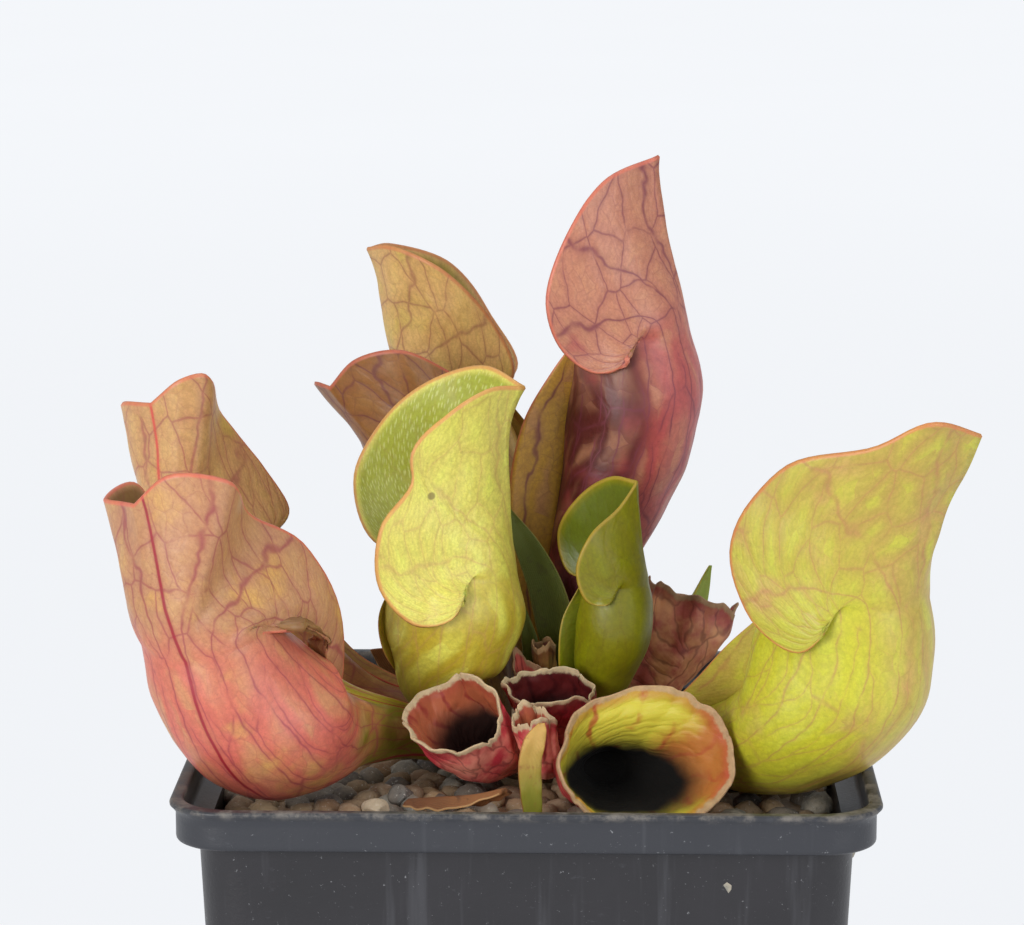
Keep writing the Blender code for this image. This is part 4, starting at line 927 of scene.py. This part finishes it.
install(old_cup("torn_cup_rear", maroon_finish,
                [(15.5, 8.5, 116, 2.6, 2.6), (20, 12, 123, 5.6, 5.2), (24.5, 15, 131, 8.2, 7.4),
                 (27, 17, 138, 8.8, 7.8)], -70,
                lambda a: -3.4 * math.sin(a) + 0.7 * math.sin(5 * a), 15.0, fray=1.6, fold=0.7),
        "old_pitcher_rear_right", slot="old_pitcher_rear_right")
install(old_cup("torn_cup_pointed", maroon_finish,
                [(0.8, -2.4, 116.2, 1.4, 1.4), (0.0, -4.6, 124, 2.0, 1.7), (-0.4, -7.0, 131, 2.5, 1.8)],
                -90,
                lambda a: 3.6 * math.exp(-((a - 4.1) / 0.8) ** 2), 16.0, thick=0.5, fray=0.2, fold=0.1,
                columns=72),
        "old_pitcher_pointed", slot="old_pitcher_pointed")
tube_finish = old_finish("dry_tube_leaf", (138, 92, 52), (150, 120, 58), (120, 66, 46), (96, 40, 32),
                         (40, 24, 14),
                         (204, 164, 116))
install(old_cup("dry_tube", tube_finish,
                [(3.2, 0.2, 115.4, 1.4, 1.4), (2.6, -1.6, 126, 1.7, 1.7), (2.0, -3.0, 134.6, 1.9, 1.9)],
                -90,
                lambda a: 0.5 * math.sin(3 * a), 17.0, thick=0.5, fray=0.3, fold=0.1, columns=72),
        "old_pitcher_tube", slot="old_pitcher_tube")


# ------------------------------------------------------------------ Strap leaves, shoot and dry leaves
# Flat winter leaves and one new shoot stand between the pitchers; two dead leaves have dried to brown
# paper. Each is a single blade, creased along its middle.
def strap_finish(name, base, tip, edge, marks, gloss=0.42, spots=0.3):
    blade = Finish(name, Subsurface_Weight=0.08, Subsurface_Scale=0.001, Specular_IOR_Level=0.4)
    where = blade.place()
    ribs = blade.uv("ribs")
    across, level = blade.split(ribs, 0), blade.split(ribs, 1)
    patch = blade.grain(where, 180.0, 4.0, 0.6)
    line = (across * 9.0 + patch * 0.5).fold()
    tone = blade.mix(blade.step(level + (patch - 0.5) * 0.4, 0.1, 0.9), rgb(*base), rgb(*tip))
    tone = blade.mix(blade.step(line, 0.2, 0.02) * 0.3, tone, rgb(*marks))
    tone = blade.mix(blade.step(blade.grain(where, 420.0, 3.0, 0.6), 0.56, 0.70) * spots, tone, rgb(*marks))
    tone = blade.mix(blade.step(across.size(), 0.90, 0.99) * 0.7,
                     tone, rgb(*edge))
    blade.put("Base Color", tone)
    blade.put("Roughness", gloss + patch * 0.15)
    blade.bump(blade.step(line, 0.0, 0.3) * 0.5 + blade.grain(where, 900.0, 3.0, 0.6) * 0.4, 0.35, 0.0004)
    return blade


def strap(name, finish, spine, facing, crease, seed, rows=56, columns=28):
    """A lens-shaped blade folded along its middle by crease, a share of its half width."""
    centre, wide, deep, _, side, thick, _ = growth(spine, facing, rows)
    turn = np.linspace(0.0, 2 * math.pi, columns, endpoint=False)
    bend = crease * (np.abs(np.sin(turn)) ** 1.5)[None] * wide[:, None]
    ripple = np.array([[noise.noise(Vector((k / 7.0, math.sin(t) * 1.2,
                                            seed))) for t in turn] for k in range(rows)])
    points = (centre[:, None] + (wide[:, None] * np.sin(turn))[..., None] * side
              + (deep[:, None] * np.cos(turn) + bend + ripple * 0.5 * np.sin(turn) ** 2)[..., None]
              * thick[:, None])
    grid = np.arange(rows * columns).reshape(rows, columns)
    faces = tube_quads(grid).tolist()
    faces += [grid[0][::-1].tolist(), grid[-1].tolist()]
    ribs = np.stack([np.tile(np.sin(turn), rows), np.linspace(0, 1, rows).repeat(columns)], axis=1)
    return piece(name, points.reshape(-1, 3), faces, finish, {"ribs": ribs})


green = strap_finish("green_strap_leaf", (84, 88, 18), (98, 108, 34), (150, 140, 70), (62, 52, 22))
mottled = strap_finish("mottled_stub_leaf", (128, 132, 40), (200, 160, 84), (150, 84, 50), (140, 74, 46),
                       spots=0.6)
yellowed = strap_finish("new_shoot_leaf", (150, 130, 40), (128, 146, 42), (196, 176, 50), (120, 90, 40))
papery = strap_finish("dry_paper_leaf", (104, 62, 32), (142, 92, 52), (190, 150, 100), (62, 38, 24), 0.65,
                      0.6)
for part_name, node_name, look, facing, crease, spine in (
        ("curled_stub", "strap_leaf_stub", mottled, -75, 0.35,
         [(1.0, -36.5, 113.6, 1.4, 0.7), (0.5, -36.8, 119, 1.8, 0.9), (0.4, -36.9, 124, 1.9, 0.9),
          (1.4, -36.6, 128, 1.6, 0.8), (2.2, -36.2, 129.6, 0.6, 0.4)]),
        ("strap_behind_young", "strap_leaf_centre", green, -90, 0.3,
         [(8, 4.4, 116, 1.4, 1.0), (6.4, 3.6, 126, 2.4, 0.9), (4.4, 3.0, 134.5, 3.2, 0.8),
          (2.4, 2.6, 143, 3.1, 0.7), (-0.8, 2.2, 150.5, 2.3, 0.6), (-4.6, 2.0, 157, 0.6, 0.4)]),
        ("thin_pointed_leaf", "strap_leaf_pointed", green, -90, 0.3,
         [(0.6, 3.4, 115.4, 1.2, 0.8), (0.3, 2.0, 126, 1.5, 0.7), (-0.2, 1.0, 134, 1.4, 0.6),
          (-1.6, 0.6, 140.5, 0.4, 0.3)]),
        ("strap_left", "strap_leaf_left", green, -90, 0.3,
         [(-11.5, 13.0, 114.6, 1.3, 0.9), (-15.5, 13.6, 119.4, 1.6, 0.9), (-21.5, 14, 122.8, 1.9, 0.9),
          (-27, 13.8, 126.2, 1.8, 0.8), (-32.5, 13, 129.6, 0.7, 0.4)]),
        ("rear_shoot", "new_shoot", yellowed, -60, 0.45,
         [(13, 16, 115.4, 1.2, 1.0), (19.6, 22.5, 123, 2.0, 1.2), (26.6, 29.5, 132, 2.5, 1.3),
          (30.4, 31.5, 140.6, 0.3, 0.3)]),
        ("dead_leaf_behind", "dead_leaf_left", papery, -90, 0.5,
         [(-13, 18.0, 114.6, 1.2, 0.7), (-17, 18.3, 119, 2.6, 0.6), (-21.5, 18.7, 124, 3.8, 0.5),
          (-25.5, 19.0, 128.5, 2.4, 0.4)]),
        ("dead_leaf_on_gravel", "dead_leaf_front", papery, -60, 0.5,
         [(-18.5, -34.4, 116.4, 1.3, 0.4), (-13.5, -35.0, 116.8, 2.6, 0.5), (-8, -34.8, 117.2, 2.6, 0.5),
          (-3.5, -34.2, 118.2, 1.2, 0.4)])):
    install(strap(part_name, look, spine, facing, crease, len(part_name)), node_name, slot=node_name)


# ------------------------------------------------------------------ Gravel and pebbles
# Washed river stones dress the top of the peat: a packed bed of small ones with bigger ones loose on it,
# tan, grey, orange and near black, some of them speckled. Nothing binds them.
def stone_finish(name, colours, speckle):
    rock = Finish(name, Specular_IOR_Level=0.35)
    where = rock.place()
    shade = rock.attribute("shade")
    patch = rock.grain(where, 260.0, 5.0, 0.65)
    grit = rock.grain(where, 1600.0, 3.0, 0.7)
    tone = rgb(*colours[0])
    for number, colour in enumerate(colours[1:], start=1):
        place = number / len(colours)
        tone = rock.mix(rock.step(shade, place - 0.01, place + 0.01), tone, rgb(*colour))
    tone = rock.mix(rock.step(patch, 0.35, 0.68) * 0.45, tone,
                    rock.mix(shade, rgb(92, 78, 62), rgb(206, 190, 164)))
    tone = rock.mix(rock.step(grit, 0.58, 0.68) * speckle, tone, rgb(58, 54, 50))
    tone = rock.mix(rock.step(grit, 0.40, 0.32) * speckle, tone, rgb(216, 212, 204))
    rock.put("Base Color", tone)
    rock.put("Roughness", 0.55 + patch * 0.3)
    rock.bump(patch + grit * 0.3, 0.6, 0.0006)
    return rock


def stone_points(detail, seed):
    """A unit ball worn into a stone: broad lumps, a few flattened sides."""
    bpy.ops.mesh.primitive_ico_sphere_add(subdivisions=detail, radius=1.0)
    ball = bpy.context.object
    points = np.array([v.co for v in ball.data.vertices])
    faces = [list(f.vertices) for f in ball.data.polygons]
    bpy.data.objects.remove(ball)
    turn = np.random.default_rng(seed)
    for cut in turn.normal(size=(6, 3)):
        cut = unit(cut)
        high = points @ cut
        points = points - np.maximum(high - 0.78, 0)[:, None] * cut * 0.85
    return points * (1 + ruffle(points, 0.9, 0.16, seed))[:, None], faces


stones = bpy.data.collections.new("stone_shapes")
bed_finish = stone_finish("bed_stones", [(150, 128, 100), (112, 106, 98), (172, 146, 112), (84, 80, 76),
                                         (140, 112, 84), (128, 126, 118)], 0.4)
for number in range(5):
    shape_points, shape_faces = stone_points(2, 40 + number)
    shape = piece(f"stone_shape_{number}", shape_points * (1.0, 0.8, 0.65), shape_faces, bed_finish)
    studio.collection.objects.unlink(shape)
    stones.objects.link(shape)

low, high = (np.array(corner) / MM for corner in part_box("gravel"))
bed_half, bed_top, bed_points = high[0] - 0.3, high[2] - 0.9, 48
mound_height, mound_x, mound_y, mound_spread = 1.6, 18, 36, 500
steps = np.linspace(-bed_half + 1, bed_half - 1, bed_points)


def bed_height(x, y):
    return bed_top + mound_height * math.exp(-((x + mound_x) ** 2 + (y + mound_y) ** 2) / mound_spread)


bed_grid = np.array([(x, y, bed_height(x, y)) for y in steps for x in steps])
cell = np.arange(bed_points**2).reshape(bed_points, bed_points)
top_faces = patch_quads(cell)
around = np.concatenate([cell[0, :-1], cell[:-1, -1], cell[-1, :0:-1], cell[:0:-1, 0]])
under = bed_points**2 + np.arange(len(around))
bed_faces = top_faces.tolist() + between(under, around) + [under[::-1].tolist()]
below = bed_grid[around].copy()
below[:, 2] = low[2]
bed = piece("gravel_bed", np.vstack([bed_grid, below]), bed_faces, bed_finish)

scatter = Graph()
scatter.tree = bpy.data.node_groups.new("scatter_stones", "GeometryNodeTree")
sockets = {}
for label, kind in (("Bed", "Geometry"), ("Spacing", "Float"), ("Smallest", "Float"), ("Largest", "Float"),
                    ("Seed", "Int"), ("Stones", "Collection"), ("Finish", "Material")):
    made = scatter.tree.interface.new_socket(label, in_out="INPUT", socket_type="NodeSocket" + kind)
    sockets[label] = made.identifier
scatter.tree.interface.new_socket("Gravel", in_out="OUTPUT", socket_type="NodeSocketGeometry")
given = scatter.tree.nodes.new("NodeGroupInput")
asked = {label: Wire(scatter, given.outputs[label]) for label in sockets}
upward = scatter.node("ShaderNodeSeparateXYZ", {}, {0: scatter.node("GeometryNodeInputNormal")}, out=2)
facing_up = scatter.node("FunctionNodeCompare", {"operation": "GREATER_THAN", "data_type": "FLOAT"},
                         {0: upward, 1: 0.7})
spots = scatter.node("GeometryNodeDistributePointsOnFaces", {"distribute_method": "POISSON"},
                     {"Mesh": asked["Bed"], "Selection": facing_up, "Distance Min": asked["Spacing"],
                      "Density Max": 200000.0, "Seed": asked["Seed"]})
shapes = scatter.node("GeometryNodeCollectionInfo", {}, {"Collection": asked["Stones"],
                                                         "Separate Children": True,
                                                         "Reset Children": True})
tumble = scatter.node("FunctionNodeRandomValue", {"data_type": "FLOAT_VECTOR"},
                      {"Min": (-0.5, -0.5, 0.0), "Max": (0.5, 0.5, 6.28), "Seed": asked["Seed"]})
size = scatter.node("FunctionNodeRandomValue", {"data_type": "FLOAT"},
                    {2: asked["Smallest"], 3: asked["Largest"], "Seed": asked["Seed"]}, out=1)
laid = scatter.node("GeometryNodeInstanceOnPoints", {}, {"Points": spots, "Instance": shapes,
                                                         "Pick Instance": True,
                                                         "Rotation": tumble, "Scale": size})
shade = scatter.node("FunctionNodeRandomValue", {"data_type": "FLOAT"}, {2: 0.0, 3: 1.0, "Seed": 7}, out=1)
laid = scatter.node("GeometryNodeStoreNamedAttribute", {"data_type": "FLOAT", "domain": "INSTANCE"},
                    {"Geometry": laid, "Name": "shade", "Value": shade})
real = scatter.node("GeometryNodeRealizeInstances", {}, {0: laid})
join = scatter.tree.nodes.new("GeometryNodeJoinGeometry")
scatter.tree.links.new(real.socket, join.inputs[0])
scatter.tree.links.new(asked["Bed"].socket, join.inputs[0])
finished = scatter.node("GeometryNodeSetMaterial", {}, {"Geometry": Wire(scatter, join.outputs[0]),
                                                        "Material": asked["Finish"]})
result = scatter.tree.nodes.new("NodeGroupOutput")
scatter.tree.links.new(finished.socket, result.inputs[0])
spread = bed.modifiers.new("stones", "NODES")
spread.node_group = scatter.tree
for label, value in (("Spacing", 3.9 * MM), ("Smallest", 2.2), ("Largest", 3.7), ("Seed", 3),
                     ("Stones", stones),
                     ("Finish", bed_finish.material)):
    spread[sockets[label]] = value
packed = bpy.data.meshes.new_from_object(bed.evaluated_get(bpy.context.evaluated_depsgraph_get()))
bed.modifiers.clear()
bed.data = packed
bed.data.shade_smooth()
for shape in list(stones.objects):
    bpy.data.objects.remove(shape)
bpy.data.collections.remove(stones)
install(bed, "gravel", slot="gravel")

# Sixteen bigger stones lie loose on the bed, in the colours of a handful from a stream.
pebble_colours = [(176, 142, 104), (150, 146, 138), (196, 156, 112), (108, 106, 102), (176, 118, 74),
                  (132, 134, 122),
                  (190, 174, 148)]
for number in range(1, 17):
    node_name = f"pebble_{number:02d}"
    low, high = (np.array(corner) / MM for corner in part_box(node_name))
    colour = pebble_colours[number * 3 % len(pebble_colours)]
    rock = stone_finish(f"stone_{number:02d}", [colour, colour], 0.75 if number % 3 == 1 else 0.3)
    stone, stone_faces = stone_points(5, 60 + number)
    span = (stone - stone.min(axis=0)) / np.ptp(stone, axis=0)
    item = piece(f"loose_stone_{number:02d}", low + span * (high - low), stone_faces, rock,
                 values={"shade": np.full(len(stone), number % 5 / 5)})
    install(item, node_name, slot="pebble")
